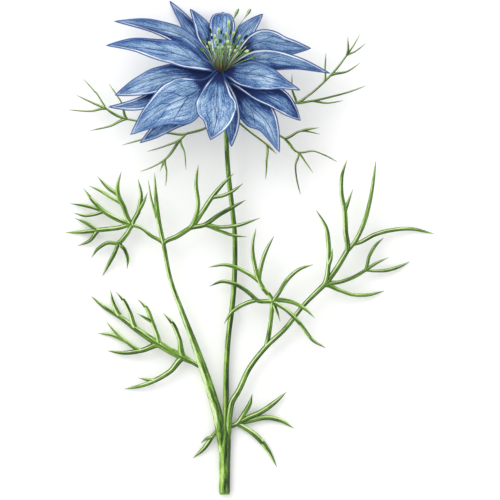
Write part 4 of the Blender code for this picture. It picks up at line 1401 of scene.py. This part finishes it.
# Each leaf's branches, from its stalk outwards. Both long stalks hug the stem at first.
LEAVES = {
    "leaf_left_upper": (
        ((220.6, 434, 2.1, 1.1), (217.2, 414, 2.4, 1.2), (212.2, 396, 2.8, 1.12), (204.5, 373, 3.3, 1.05),
         (195, 346, 3.9, 0.84), (182, 312, 4.7, 0.62), (170.5, 280, 5.3, 0.54), A_FORK),
        (A_FORK, A_SPIKE, (156.2, 200, 7.4, 0.44), (154.5, 173, 8.2)),
        (A_SPIKE, (152.2, 203, 7.0, 0.26), (148, 180, 7.4)),
        (A_FORK, (150, 235, 5.4, 0.42), (140.5, 227.5, 5.1, 0.42), A_HUB),
        (A_HUB, A_LOBE_A, (141, 195, 7.2, 0.42), (138, 179, 7.8)),
        (A_LOBE_A, (143.8, 201.5, 7.2, 0.32), (147.6, 192.4, 7.8)),
        (A_HUB, A_LOBE_B, A_LOBE_B_TOP, (117.6, 185, 5.4, 0.38), (121.3, 171.6, 5.8)),
        (A_LOBE_B_TOP, (107, 187, 4.0, 0.37), (97, 176, 3.4)),
        (A_LOBE_B, (111, 197.5, 3.8, 0.36), (100, 190.5, 3.0, 0.34), (88.6, 185.6, 2.4)),
        (A_HUB, (119, 220, 4.4, LEAFLET), A_LOBE_C, (92.5, 200.5, 2.8, 0.4), (83, 188, 2.4)),
        (A_LOBE_C, (94, 208, 2.5, 0.34), (82, 205, 1.6, 0.34), (69.5, 203.5, 0.8)),
        (A_LOBE_C, (96, 214, 2.8, 0.34), (85, 215.5, 2.2, 0.34), (73.4, 213, 1.6)),
        (A_HUB, (117, 228, 3.8, LEAFLET), A_LOBE_D, (82, 232, 1.0, 0.4), (65.5, 232.5, 0.14)),
        (A_LOBE_D, (86, 223, 1.6, 0.35), (74.5, 218, 0.9)),
        (A_LOBE_D, (89, 241, 1.3, 0.35), (77, 246, 0.5)),
        (A_HUB, (126.5, 234, 4.4, LEAFLET), A_LOBE_E, (107, 243, 2.6, 0.4), (97.5, 249, 1.7, 0.36),
         (91, 258, 1.0)),
        (A_LOBE_E, (114, 254, 2.6, 0.42), (108, 265, 1.3, 0.37), (102, 276, 0.14)),
        (A_LOBE_E, (125, 250.5, 3.0, 0.36), (127.6, 259, 2.3, 0.34), (126.8, 269, 1.6)),
        (A_FORK, (177.5, 236, 6.2, 0.6), A_INNER),
        (A_INNER, (195.8, 217, 7.3, 0.5), (198, 205, 7.6, 0.42), (196, 184, 7.6, 0.4), (198.3, 164.5, 7.6)),
        (A_INNER, (202.5, 211.5, 7.4, LEAFLET), A_INNER_MID, (223, 184, 8.4, 0.38), (233.7, 173.5, 8.4)),
        (A_INNER_MID, (223.5, 195.5, 8.2, 0.36), (234.5, 190, 7.9, 0.34), (242.7, 183.6, 7.4)),
        (A_INNER, A_INNER_LOW, (218, 215.5, 6.9, 0.45), (232, 207.5, 7.0, 0.42), (245.7, 200, 6.4)),
        (A_INNER_LOW, (220, 227, 6.5, 0.38), (237, 225.5, 6.2, 0.38), (260, 218, 4.8)),
        (A_INNER_LOW, (219, 230.5, 6.2, 0.34), (232, 235, 5.8, 0.34), (247, 236.8, 5.4)),
    ),
    "leaf_left_lower": (
        ((192.8, 362.6, 3.3, 0.5), B_STEP_1, B_STEP_2, B_STEP_3, B_STEP_4, (104.5, 307.5, 0.9, 0.4),
         (91, 296.5, 0.14)),
        (B_STEP_4, (113.5, 304.5, 1.7, 0.36), (110, 290, 1.2)),
        (B_STEP_3, (129.5, 312.5, 3.2, 0.4), (123.5, 300.5, 3.4, 0.36), (116, 292, 3.2)),
        (B_STEP_2, (157, 335, 3.6, 0.42), B_SIDE_TOP, (145.5, 307, 4.2, 0.36), (138, 299.6, 4.2)),
        (B_SIDE_TOP, (144.5, 317.5, 4.3, 0.28), (137, 313.6, 4.6)),
        (B_STEP_1, (179, 338.5, 4.0, 0.42), (172.5, 323.5, 4.6, 0.4), (163.6, 313.6, 5.0)),
        (B_STEP_2, B_SIDE_LOW, (124, 353, 1.6, 0.4), (107, 351, 0.6)),
        (B_SIDE_LOW, B_SIDE_FAR, (111, 334.8, 0.8, 0.36), (97.5, 333.5, 0.14)),
        (B_SIDE_FAR, (115, 332, 1.5, 0.26), (106, 321.5, 1.6)),
        (B_STEP_1, (170, 371.5, 2.6, LEAFLET), B_TAIL, (139, 386.5, 1.2, 0.38), (124, 389.3, 0.14)),
        (B_TAIL, (147, 379.8, 1.8, 0.3), (138, 378, 1.4)),
    ),
    "leaf_right_upper": (
        ((228.6, 432, 2.0, 0.66), (229.6, 415, 2.3, 0.7), (232.2, 402, 2.5, 0.7), (238, 392, 2.7, 0.68),
         (249, 369, 3.1, 0.64), (267, 346, 3.7, 0.6), (284, 330, 4.1, 0.56), (304, 305, 4.7, 0.54), C_FORK),
        (C_FORK, (336, 269.5, 5.4, 0.64), C_TOP),
        (C_FORK, C_TAIL, (328.6, 245, 6.5, 0.5), (326.5, 229, 6.8, 0.44), (316.3, 210, 7.2)),
        (C_TAIL, (331.4, 257.5, 6.6, 0.3), (332.6, 248.5, 7.0)),
        (C_TOP, (345.6, 231, 6.0, 0.56), C_SPIKE, (341.4, 192, 7.1, 0.45), (342, 176, 7.4, 0.38),
         (347, 159.5, 7.6)),
        (C_SPIKE, (348.8, 200.5, 6.5, 0.28), (353, 189, 6.4)),
        (C_TOP, C_ARM, (363.5, 224.5, 5.0, 0.45), (369.8, 202, 5.2, 0.4), (373.4, 181, 5.0, 0.36),
         (376, 161, 4.8)),
        (C_ARM, (361, 242, 4.2, 0.46), (374, 235, 3.2, 0.45), (391, 230.3, 2.2, 0.42), (410, 228.8, 1.2, 0.4),
         (434, 233.6, 0.14)),
        (C_FORK, (341, 281.8, 4.4, 0.4), (355, 276.5, 3.8, 0.38), C_SIDE, (375, 264, 2.9, 0.34),
         (388.7, 257.4, 2.6)),
        (C_SIDE, (369.5, 256, 3.4, 0.34), (376, 245, 3.5, 0.34), (383.7, 237.8, 3.6)),
        (C_SIDE, (374.5, 271, 2.4, 0.3), (387, 270.3, 1.5, 0.38), (399, 266.8, 0.8, 0.35),
         (410, 261.6, 0.14)),
        (C_FORK, (339, 290, 3.9, 0.43), (353, 294.6, 2.4, 0.4), (368, 295, 1.4, 0.38), (384.4, 291, 0.14)),
    ),
    "leaf_right_middle": (
        ((268.7, 335.4, 3.8, 0.55), (270.8, 321, 4.6, 0.52), D_HUB),
        (D_HUB, (277, 312.5, 5.0, 0.34), (280, 321, 4.9)),
        (D_HUB, D_LEFT, (254.5, 264, 6.8, 0.42), (252.5, 246, 7.0, 0.38), (256, 228, 7.0)),
        (D_LEFT, (261.5, 265, 6.4, 0.42), (266.5, 250, 6.4, 0.38), (274, 236, 6.2)),
        (D_LEFT, (242.5, 270.3, 6.0, 0.42), (225, 264.8, 5.2, 0.38), (208.5, 267.3, 3.8)),
        (D_HUB, D_LOW, (249, 293, 5.3, 0.42), (237, 285, 4.9, 0.44), (222.5, 281.5, 3.6, 0.38),
         (209.5, 286.3, 2.4)),
        (D_LOW, (244, 304.3, 4.9, 0.42), (231.5, 312.5, 4.6, 0.38), (224, 324, 4.0)),
        (D_HUB, (278.3, 294, 5.6, 0.42), (287.5, 279.5, 5.8, 0.42), (299, 269.5, 5.5, 0.38),
         (313, 264.6, 5.0)),
        (D_HUB, (292.5, 302.3, 6.0, 0.43), (304.5, 308.5, 6.0, 0.38), (315, 318, 4.2)),
        (D_HUB, (283, 307.8, 5.95, 0.43), (295, 318, 5.9, 0.43), (304, 329, 4.6, 0.4),
         (313, 340.5, 2.6, 0.36), (325.7, 348, 0.14)),
    ),
    "leaf_base_right": (
        ((232.4, 426, 1.0, 0.42), E_FORK),
        (E_FORK, (243.5, 414.5, 1.8, 0.38), (249.5, 404.5, 2.6, 0.36), (252.3, 394, 3.4)),
        (E_FORK, (248, 418, 1.6, 0.43), (260.5, 412.5, 1.9, 0.42), (275, 402.5, 1.4, 0.37),
         (286.7, 392, 0.8)),
        (E_FORK, (250, 420.8, 1.15, 0.43), (266, 417.8, 1.2, 0.42), (281.5, 421, 0.7, 0.37),
         (294, 428.6, 0.14)),
        (E_FORK, (243.5, 427.5, 1.1, 0.42), (256, 436, 1.1, 0.43), (267.5, 450, 0.8, 0.38),
         (276.6, 467, 0.14)),
    ),
    "leaf_base_left": (
        ((217.4, 430.5, 1.0, 0.42), F_FORK),
        (F_FORK, (204, 448.5, 1.0, 0.38), (193, 458.5, 0.14)),
        (F_FORK, (206.5, 439, 1.7, 0.28), (201, 443.5, 2.1)),
    ),
}

# Where a piece's base reaches into what carries it: px, height and radius in mm.
ANCHORS = {
    "leaf_left_upper": (222.4, 452, 1.5, 0.9), "leaf_right_upper": (227.2, 446, 1.5, 0.6),
    "leaf_base_right": (226.5, 428, 1.2, 0.5), "leaf_base_left": (224.0, 424, 1.2, 0.5),
    "leaf_left_lower": (202.0, 368, 3.4, 0.5), "leaf_right_middle": (266.0, 348, 3.6, 0.6),
    "bract_left": (224.8, 92, 11.4, 0.3), "bract_lower_left": (225.6, 101, 10.5, 0.3),
    "bract_right": (225.4, 93, 11.3, 0.3), "bract_lower_right": (225.9, 102, 10.4, 0.3),
    "bract_below": (225.8, 105, 10.1, 0.28),
}

# Three leaves are thicker than their radii above say, by these factors.
THICKER = {"leaf_base_right": 1.3, "leaf_base_left": 1.2, "leaf_left_lower": 1.12}

# The radii of the fine tips, in mm.
LEAF_TIP = 0.14
BRACT_TIP = 0.12


@dataclass(frozen=True)
class Foliage:
    """The thread-like leaves and the bracts under the head."""

    plan: Plan
    sizes: ShootSizes

    def build(self, table: dict[str, Branches], slot: str, finish: bpy.types.Material,
              tip: float) -> None:
        """Makes every piece of a table.

        Args:
            table: Each node's branches.
            slot: Their material slot.
            finish: Their material.
            tip: The radius of their tips, in mm.
        """
        for number, (node, branches) in enumerate(table.items(), start=1):
            maker = MeshMaker(f"{node}_green")
            thicker = THICKER.get(node, 1.0)
            rooted = ((ANCHORS[node], *branches[0]), *branches[1:])
            spots = [tuple((*spot[:3], (spot[3] if len(spot) > 3 else tip) * thicker) for spot in branch)
                     for branch in rooted]
            Shoot(maker, self.sizes).fork(self.plan, spots, number * 11.0)
            settle(maker.finish([finish]), slot, node)


@dataclass(frozen=True)
class Stem:
    """The round stem, its cut end and the receptacle.

    Attributes:
        knob: The receptacle's heights up the flower's axis and its radii, in mm.
        rim: The cut end's rings, as how far out they stand in mm and their share of its radius.
        cap_sides: How many points are in each of those rings.
    """

    knob = ((-2.6, 0.75), (-1.9, 1.05), (-1.2, 1.3), (-0.2, 1.3), (0.6, 1.0), (1.2, 0.6))
    rim = ((-0.1, 0.96), (0.42, 0.98), (0.5, 0.85), (0.46, 0.45))
    cap_sides = 24
    head: Head
    sizes: ShootSizes

    def build(self, finish: bpy.types.Material, cut: bpy.types.Material) -> None:
        """Makes the stem.

        Args:
            finish: The skin's material.
            cut: The cut end's material.
        """
        maker = MeshMaker("stem_green")
        rows = [(*self.head.plan.at(x, y, z), radius) for x, y, z, radius in STEM]
        rows += [(*self.head.on_axis(height), radius) for height, radius in self.knob]
        path = np.array(rows)
        Shoot(maker, self.sizes).sweep(path, False, 3.0)
        self.cap(maker, path)
        settle(maker.finish([finish, cut]), "stem", "stem")

    def cap(self, maker: MeshMaker, path: np.ndarray) -> None:
        """Adds the disc of the cut end.

        Args:
            maker: The stem's mesh.
            path: The stem's path.
        """
        start, radius = path[0, :3], path[0, 3] * 0.97
        back = unit(start - path[1, :3])
        side = unit(np.array((-back[1], back[0], 0.0)))
        up = np.cross(side, back)
        turn = around(self.cap_sides)[:, None]
        spread = (side * np.cos(turn) + up * np.sin(turn) * 0.7) * radius
        rings = [start + back * depth + spread * share for depth, share in self.rim]
        points = np.vstack((*rings, start - back * 0.12, start + back * 0.43))
        faces = [face[::-1] for face in tube_faces(len(rings), self.cap_sides)]
        out = np.append(np.repeat([share for _, share in self.rim], self.cap_sides), (0, 0))
        blank = np.zeros(len(points))
        values = {name: blank for name in maker.values}
        maker.values["out"] = [np.zeros(maker.count)]
        maker.add(points, faces, np.stack((out, blank), axis=1), {**values, "out": out}, 1)


@dataclass(frozen=True)
class PistilSizes:
    """The ovary by heights up the axis and radii, in mm, and the styles in px and mm."""

    ovary: tuple[tuple[float, float], ...] = (
        (0.9, 0.4), (1.9, 0.5), (2.8, 0.66), (3.8, 0.68), (4.7, 0.52), (5.3, 0.38), (5.7, 0.26),
    )
    rings: int = 22
    sides: int = 30
    lobes: int = 5
    lobe_depth: float = 0.12
    style_root: float = 5.4
    style_radius: float = 0.16
    styles: tuple[tuple[Spot, ...], ...] = (
        ((226, 48, 23.5, 0.15), (230.5, 30, 26.6, 0.14), (234.2, 19, 27.5, 0.14), (235.6, 16.5, 27.6, 0.24),
         (237.2, 12.8, 27.7, 0.36), (238.6, 10.2, 27.7, 0.2)),
        ((228.5, 47, 21.5, 0.15), (237.5, 29, 23.6, 0.14), (245.6, 17.5, 24.2, 0.14), (247, 15.6, 24.2, 0.24),
         (249.2, 12.3, 24.2, 0.36), (250.6, 10.2, 24.2, 0.2)),
    )


@dataclass(frozen=True)
class Pistil:
    """The lobed ovary and its long styles."""

    head: Head
    sizes: PistilSizes

    def build(self, finish: bpy.types.Material) -> None:
        """Makes the pistil.

        Args:
            finish: Its material.
        """
        sizes = self.sizes
        maker = MeshMaker("pistil_green")
        rows = np.array([(*self.head.on_axis(height), radius) for height, radius in sizes.ovary])
        path = curve_through(rows, sizes.rings)
        turn = around(sizes.sides)
        lobe = np.cos(turn * sizes.lobes)
        over = np.array((1.0, 0.0, 0.0))
        spread = over * np.cos(turn)[:, None] + self.head.up * np.sin(turn)[:, None]
        ring = path[:, None, :3] + spread * (path[:, 3:] * (1 + sizes.lobe_depth * lobe))[:, :, None]
        points = np.vstack((ring.reshape(-1, 3), path[0, :3], path[-1, :3] + self.head.axis * 0.05))
        # The lobes' ridges get painted light and their furrows painted shade.
        painted_light = np.append(np.tile(lobe, sizes.rings), (0, 0))
        along = np.append(np.repeat(np.linspace(0, 3, sizes.rings), sizes.sides), (0, 3))
        values = {"painted_light": painted_light * 0.7, "along": along, "lift": np.zeros(len(points)),
                  "seed": np.full(len(points), 4.0)}
        faces = tube_faces(sizes.rings, sizes.sides)
        maker.add(points, faces, np.stack((painted_light, along), axis=1), values)
        shoot = Shoot(maker, ShootSizes(step=0.2, sides=10, flat=0.8))
        start = (*self.head.on_axis(sizes.style_root), sizes.style_radius)
        for number, style in enumerate(sizes.styles):
            placed = [(*self.head.plan.at(*spot[:3]), spot[3]) for spot in style]
            shoot.sweep(np.array([start, *placed]), False, 20.0 + number)
        settle(maker.finish([finish]), "pistil", "pistil")


class AntherLightShade(Enum):
    """How light or dark an anther is drawn: painted light, a middle green and painted shade."""

    PALE = (srgb(170, 208, 104), srgb(224, 238, 180))
    GREEN = (srgb(120, 160, 70), srgb(82, 122, 50))
    DARK = (srgb(46, 66, 44), srgb(24, 36, 36))


@dataclass(frozen=True)
class StamenSizes:
    """Stamens, sizes in mm.

    Attributes:
        lengths: The whole length of the even and of the odd ones.
        foot: How far up the flower's axis a filament grows out of the head.
        foot_spread: How far off the axis that is.
        start: How far up the axis the filaments spread from.
        ring: How far off the axis they are there, and how much more for each mm that they spread.
        bow: How far a filament bows up the axis.
    """

    lengths: tuple[float, float] = (12.5, 11.6)
    foot: float = 0.9
    foot_spread: float = 0.55
    start: float = 2.3
    ring: tuple[float, float] = (0.8, 0.13)
    filament: float = 0.08
    anther_length: float = 1.75
    anther_width: float = 0.36
    bow: float = 0.35
    steps: int = 20


SHORT_SIZES = StamenSizes(lengths=(11.3, 11.3), filament=0.06, anther_length=1.35, anther_width=0.27)
SHORT_SEED = 40
FILAMENTS = {
    "green": (srgb(70, 96, 52), srgb(150, 196, 88)),
    "maroon": (srgb(132, 66, 84), srgb(150, 160, 112)),
    "pale": (srgb(104, 122, 88), srgb(206, 230, 166)),
}

# Each anther's tip in px and its tone, PALE for painted light and DARK for painted shade. The short ones
# stand for no node.
PALE, GREEN, DARK = AntherLightShade
STAMENS = (
    (210, 29, DARK), (203.5, 39.5, GREEN), (201, 48.5, GREEN), (209.5, 42, PALE), (215, 35, PALE),
    (219, 28.5, PALE), (215.5, 48, GREEN), (220.5, 40, DARK), (223, 49, GREEN), (228, 41, PALE),
    (229, 21.5, PALE), (234, 32, PALE), (240, 35, PALE), (247, 36, DARK), (234.5, 44, GREEN),
    (242, 42.5, GREEN), (250, 43, DARK), (253.5, 49.5, DARK), (247.5, 51, PALE), (240.5, 50, GREEN),
    (255, 57, GREEN),
)
SHORT_STAMENS = (
    (207, 38, DARK), (211.5, 35.5, DARK), (223.5, 33, GREEN), (221.5, 30, DARK), (230.5, 30, DARK),
    (226, 36, GREEN), (217.5, 43.5, GREEN), (244, 47, DARK), (231, 49, PALE), (206.5, 45.5, PALE),
    (237.5, 39, GREEN), (213, 49, PALE), (218.3, 46.5, PALE), (229, 46, PALE), (236, 49.5, PALE),
    (222.5, 46, PALE), (241.5, 52, GREEN), (216, 39, PALE), (238.5, 45, PALE), (226, 32, PALE),
    (246, 52.5, GREEN), (225.5, 43, GREEN), (233, 43, GREEN),
)


class StamenTree(Wiring):
    """A node tree that turns paths into filaments and sets a two-lobed anther on each end."""

    sockets = {"Filament Radius": "Float", "Anther Length": "Float", "Anther Width": "Float",
               "Seed": "Int", "Filament": "Material", "Anther": "Material"}

    def __init__(self) -> None:
        """Draws the tree."""
        super().__init__(bpy.data.node_groups.new("stamen_maker", "GeometryNodeTree"))
        face = self.tree.interface
        face.new_socket(name="Geometry", in_out="INPUT", socket_type="NodeSocketGeometry")
        face.new_socket(name="Geometry", in_out="OUTPUT", socket_type="NodeSocketGeometry")
        for name, kind in self.sockets.items():
            face.new_socket(name=name, in_out="INPUT", socket_type=f"NodeSocket{kind}")
        self.source = self.tree.nodes.new("NodeGroupInput")
        self.draw()

    def maths(self, operation: str, first: Any, second: Any) -> bpy.types.NodeSocket:
        """Adds one Math node and gives its result."""
        return self.node("ShaderNodeMath", {"operation": operation}, {0: first, 1: second}).outputs[0]

    def named(self, name: str, kind: str) -> bpy.types.NodeSocket:
        """Reads a value kept on the paths."""
        return self.node("GeometryNodeInputNamedAttribute", {"data_type": kind}, {"Name": name}).outputs[0]

    def store(self, geometry: bpy.types.NodeSocket, name: str, value: Any) -> bpy.types.NodeSocket:
        """Keeps a number on the points.

        Args:
            geometry: The geometry.
            name: The attribute's name.
            value: Its value or field.

        Returns:
            The geometry with the attribute.
        """
        settings = {"data_type": "FLOAT", "domain": "POINT"}
        inputs = {"Geometry": geometry, "Name": name, "Value": value}
        return self.node("GeometryNodeStoreNamedAttribute", settings, inputs).outputs[0]

    def draw(self) -> None:
        """Lays the nodes out."""
        anther = self.anther()
        factor = self.node("GeometryNodeSplineParameter", {}, {}).outputs["Factor"]
        curve = self.node("GeometryNodeMeshToCurve", {}, {0: self.source.outputs["Geometry"]}).outputs[0]
        curve = self.store(curve, "along", factor)
        slim = self.maths("SUBTRACT", 1.15, self.maths("MULTIPLY", factor, 0.4))
        curve = self.node("GeometryNodeSetCurveRadius", {}, {"Curve": curve, "Radius": slim}).outputs[0]
        circle = self.node("GeometryNodeCurvePrimitiveCircle", {"mode": "RADIUS"},
                           {"Resolution": 8, "Radius": self.source.outputs["Filament Radius"]})
        inputs = {"Curve": curve, "Profile Curve": circle.outputs[0], "Fill Caps": True}
        thread = self.node("GeometryNodeCurveToMesh", {}, inputs).outputs[0]
        thread = self.store(thread, "pollen", 0.0)
        turn = self.node("FunctionNodeAlignRotationToVector", {"axis": "Z"},
                         {"Vector": self.named("aim", "FLOAT_VECTOR")}).outputs[0]
        size = self.node("FunctionNodeRandomValue", {"data_type": "FLOAT"},
                         {2: 0.88, 3: 1.12, "Seed": self.source.outputs["Seed"]}).outputs[1]
        inputs = {"Points": self.source.outputs["Geometry"], "Selection": self.named("tip", "BOOLEAN"),
                  "Instance": anther, "Rotation": turn, "Scale": size}
        placed = self.node("GeometryNodeInstanceOnPoints", {}, inputs).outputs[0]
        joined = self.node("GeometryNodeJoinGeometry", {}, {})
        for part in (placed, thread):
            self.tree.links.new(part, joined.inputs[0])
        real = self.node("GeometryNodeRealizeInstances", {}, {0: joined.outputs[0]}).outputs[0]
        real = self.node("GeometryNodeSetMaterial", {},
                         {"Geometry": real, "Material": self.source.outputs["Filament"]}).outputs[0]
        ripe = self.node("FunctionNodeCompare", {"data_type": "FLOAT", "operation": "GREATER_THAN"},
                         {0: self.named("pollen", "FLOAT"), 1: 0.5}).outputs[0]
        inputs = {"Geometry": real, "Selection": ripe, "Material": self.source.outputs["Anther"]}
        real = self.node("GeometryNodeSetMaterial", {}, inputs).outputs[0]
        target = self.tree.nodes.new("NodeGroupOutput")
        self.tree.links.new(real, target.inputs[0])

    def anther(self) -> bpy.types.NodeSocket:
        """Two lobes side by side, standing on the filament's end.

        Returns:
            The lobes' mesh.
        """
        wide, tall = self.source.outputs["Anther Width"], self.source.outputs["Anther Length"]
        both = self.node("GeometryNodeJoinGeometry", {}, {})
        for sign in (-1.0, 1.0):
            ball = self.node("GeometryNodeMeshUVSphere", {}, {"Segments": 12, "Rings": 9, "Radius": 1.0})
            size = self.node("ShaderNodeCombineXYZ", {}, {0: self.maths("MULTIPLY", wide, 0.56),
                             1: self.maths("MULTIPLY", wide, 0.72), 2: self.maths("MULTIPLY", tall, 0.5)})
            where = self.node("ShaderNodeCombineXYZ", {}, {0: self.maths("MULTIPLY", wide, 0.42 * sign),
                              2: self.maths("MULTIPLY", tall, 0.42)})
            inputs = {"Geometry": ball.outputs[0], "Translation": where.outputs[0], "Scale": size.outputs[0]}
            lobe = self.node("GeometryNodeTransform", {}, inputs).outputs[0]
            self.tree.links.new(lobe, both.inputs[0])
        here = self.node("GeometryNodeInputPosition", {}, {}).outputs[0]
        height = self.node("ShaderNodeSeparateXYZ", {}, {0: here}).outputs[2]
        share = self.maths("DIVIDE", height, tall)
        return self.store(self.store(both.outputs[0], "along", share), "pollen", 1.0)

    def grow(self, name: str, paths: Sequence[np.ndarray], sizes: StamenSizes, seed: int,
             filament: bpy.types.Material, anther: bpy.types.Material) -> bpy.types.Object:
        """Makes a plain mesh of stamens.

        Args:
            name: The piece's name.
            paths: Each stamen's path in mm.
            sizes: Their sizes.
            seed: The tree's seed.
            filament: The filaments' material.
            anther: The anthers' material.

        Returns:
            The piece.
        """
        points, edges, tips, aims = [], [], [], []
        for path in paths:
            base = len(points)
            points.extend((path * MM).tolist())
            edges.extend((base + i, base + i + 1) for i in range(len(path) - 1))
            tips.extend([False] * (len(path) - 1) + [True])
            aims.extend([unit(path[-1] - path[-3])] * len(path))
        mesh = bpy.data.meshes.new(f"{name}_path")
        mesh.from_pydata(points, edges, [])
        mesh.attributes.new("tip", "BOOLEAN", "POINT").data.foreach_set("value", tips)
        aim = mesh.attributes.new("aim", "FLOAT_VECTOR", "POINT")
        aim.data.foreach_set("vector", np.array(aims, np.float32).ravel())
        holder = bpy.data.objects.new(f"{name}_path", mesh)
        bpy.context.scene.collection.objects.link(holder)
        grower = holder.modifiers.new("Grow", "NODES")
        grower.node_group = self.tree
        wanted = dict(zip(self.sockets, (sizes.filament * MM, sizes.anther_length * MM,
                                         sizes.anther_width * MM, seed, filament, anther)))
        for item in self.tree.interface.items_tree:
            if item.in_out == "INPUT" and item.name in wanted:
                grower[item.identifier] = wanted[item.name]
        holder.data.update()
        depsgraph = bpy.context.evaluated_depsgraph_get()
        made = bpy.data.meshes.new_from_object(holder.evaluated_get(depsgraph), depsgraph=depsgraph)
        bpy.data.objects.remove(holder, do_unlink=True)
        made.name = name
        made.shade_smooth()
        piece = bpy.data.objects.new(name, made)
        bpy.context.scene.collection.objects.link(piece)
        return piece


@dataclass(frozen=True)
class Stamens:
    """The ring of stamens around the pistil."""

    head: Head
    sizes: StamenSizes
    tree: StamenTree = field(default_factory=StamenTree)

    def path(self, px: float, py: float, length: float) -> np.ndarray:
        """One filament, bowed away from the axis.

        Args:
            px: The anther tip's px across.
            py: Its px down.
            length: The stamen's length in mm.

        Returns:
            Rows of points in mm, up to the anther's foot.
        """
        head, sizes = self.head, self.sizes
        middle = head.on_axis(sizes.start)
        tip = head.plan.at(px, py, 0.0)
        flat = np.array((tip[0] - middle[0], tip[1] - middle[1], 0.0))
        rise = math.sqrt(max(length ** 2 - float(flat @ flat), 0.0))
        reach = flat + np.array((0.0, 0.0, rise))
        spread = reach - head.axis * float(reach @ head.axis)
        size = float(np.linalg.norm(spread))
        outward = spread / size
        start = middle + outward * (sizes.ring[0] + sizes.ring[1] * size)
        end = middle + reach
        throat = end - unit(end - start) * sizes.anther_length * 0.9
        bow = (start + throat) / 2 + head.axis * sizes.bow
        foot = head.on_axis(sizes.foot) + outward * sizes.foot_spread
        return curve_through(np.array((foot, start, bow, throat)), sizes.steps)

    def build(self, filaments: tuple[bpy.types.Material, ...],
              anthers: dict[AntherLightShade, bpy.types.Material]) -> None:
        """Makes every stamen.

        Args:
            filaments: The filaments' materials, taken in turn.
            anthers: The anthers' materials.
        """
        for number, (px, py, tone) in enumerate(STAMENS, start=1):
            path = self.path(px, py, self.sizes.lengths[number % 2])
            skin = filaments[number % len(filaments)]
            node = f"stamen_{number:02d}"
            piece = self.tree.grow(f"{node}_ripe", [path], self.sizes, number, skin, anthers[tone])
            settle(piece, "stamen", node)
        for tone, skin in zip(AntherLightShade, filaments):
            paths = [self.path(px, py, SHORT_SIZES.lengths[0])
                     for px, py, kind in SHORT_STAMENS if kind is tone]
            name = f"short_stamens_{tone.name.lower()}"
            settle(self.tree.grow(name, paths, SHORT_SIZES, SHORT_SEED, skin, anthers[tone]), "stamen")


@dataclass(frozen=True)
class StudioSizes:
    """The camera, the lights and the floor, in metres, with the sensor in mm."""

    middle_px: tuple[float, float] = (250.0, 250.0)
    frame: float = 0.12
    distance: float = 4.0
    focus_height: float = 0.008
    sensor: float = 36.0
    key_power: float = 4.2
    key_size: float = 0.7
    key_place: tuple[float, float, float] = (-0.55, 0.6, 0.9)
    fill: float = 1.03
    floor: float = 3.0


@dataclass(frozen=True)
class Studio:
    """A pale floor under soft light, with the camera looking straight down."""

    plan: Plan
    sizes: StudioSizes

    def build(self) -> None:
        """Makes the camera, the lights and the floor."""
        sizes = self.sizes
        scene = bpy.context.scene
        middle = self.plan.at(*sizes.middle_px, 0.0) * MM
        data = bpy.data.cameras.new("above")
        data.sensor_width = sizes.sensor
        data.lens = sizes.sensor * sizes.distance / sizes.frame
        data.clip_start, data.clip_end = 0.05, 20.0
        camera = bpy.data.objects.new("above", data)
        camera.location = (middle[0], middle[1], sizes.focus_height + sizes.distance)
        scene.collection.objects.link(camera)
        scene.camera = camera
        key = bpy.data.lights.new("key", "AREA")
        key.energy, key.size = sizes.key_power, sizes.key_size
        lamp = bpy.data.objects.new("key", key)
        lamp.location = sizes.key_place
        lamp.rotation_euler = (-Vector(sizes.key_place)).to_track_quat("-Z", "Y").to_euler()
        scene.collection.objects.link(lamp)
        world = bpy.data.worlds.new("studio")
        world.use_nodes = True
        back = world.node_tree.nodes["Background"]
        back.inputs["Color"].default_value = (1.0, 1.0, 1.0, 1.0)
        back.inputs["Strength"].default_value = sizes.fill
        scene.world = world
        scene.view_settings.view_transform = "Standard"
        self.floor()

    def floor(self) -> None:
        """Lays the floor under the plant."""
        half = self.sizes.floor / 2
        mesh = bpy.data.meshes.new("floor")
        corners = [(-half, -half, 0.0), (half, -half, 0.0), (half, half, 0.0), (-half, half, 0.0)]
        mesh.from_pydata(corners, [], [(0, 1, 2, 3)])
        mesh.materials.append(FloorFinish().material())
        floor = bpy.data.objects.new("floor", mesh)
        floor.location.z = self.plan.middle.z
        bpy.context.scene.collection.objects.link(floor)
        floor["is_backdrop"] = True


def main() -> None:
    """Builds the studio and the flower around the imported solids."""
    logging.basicConfig(level=logging.INFO, format="%(message)s")
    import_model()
    low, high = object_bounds()
    plan = Plan()
    plan.fit(Vector(low), Vector(high))
    Studio(plan, StudioSizes()).build()
    head = Head(plan, HeadSizes())
    Corolla(head, PetalSizes(), PetalFinish().material()).build()
    Pistil(head, PistilSizes()).build(GreenFinish("pistil_skin").material())
    filaments = tuple(StamenFinish(f"filament_{name}", *ends).material() for name, ends in FILAMENTS.items())
    # One anther finish each for the lit, the middle and the shaded anthers.
    anthers = {tone: StamenFinish(f"anther_{tone.name.lower()}", *tone.value).material()
               for tone in AntherLightShade}
    Stamens(head, StamenSizes()).build(filaments, anthers)
    # The stem's skin, with more painted shade on its far side and a fainter painted highlight stripe.
    stem_skin = GreenFinish("stem_skin", pale=srgb(190, 214, 136), light=srgb(148, 186, 78),
                            middle=srgb(108, 150, 46), lift=-0.05, far=0.6, stripe=0.35)
    Stem(head, ShootSizes(sides=20, flat=1.0)).build(stem_skin.material(), CutFinish().material())
    foliage = Foliage(plan, ShootSizes())
    foliage.build(LEAVES, "leaf", GreenFinish("leaf_skin").material(), LEAF_TIP)
    bract_skin = GreenFinish("bract_skin", light=srgb(156, 188, 88), middle=srgb(110, 148, 50),
                             deep=srgb(66, 98, 30), dark=srgb(26, 40, 20), purple=0.15)
    foliage.build(BRACTS, "bract", bract_skin.material(), BRACT_TIP)
    low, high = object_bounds()


if __name__ == "__main__":
    main()
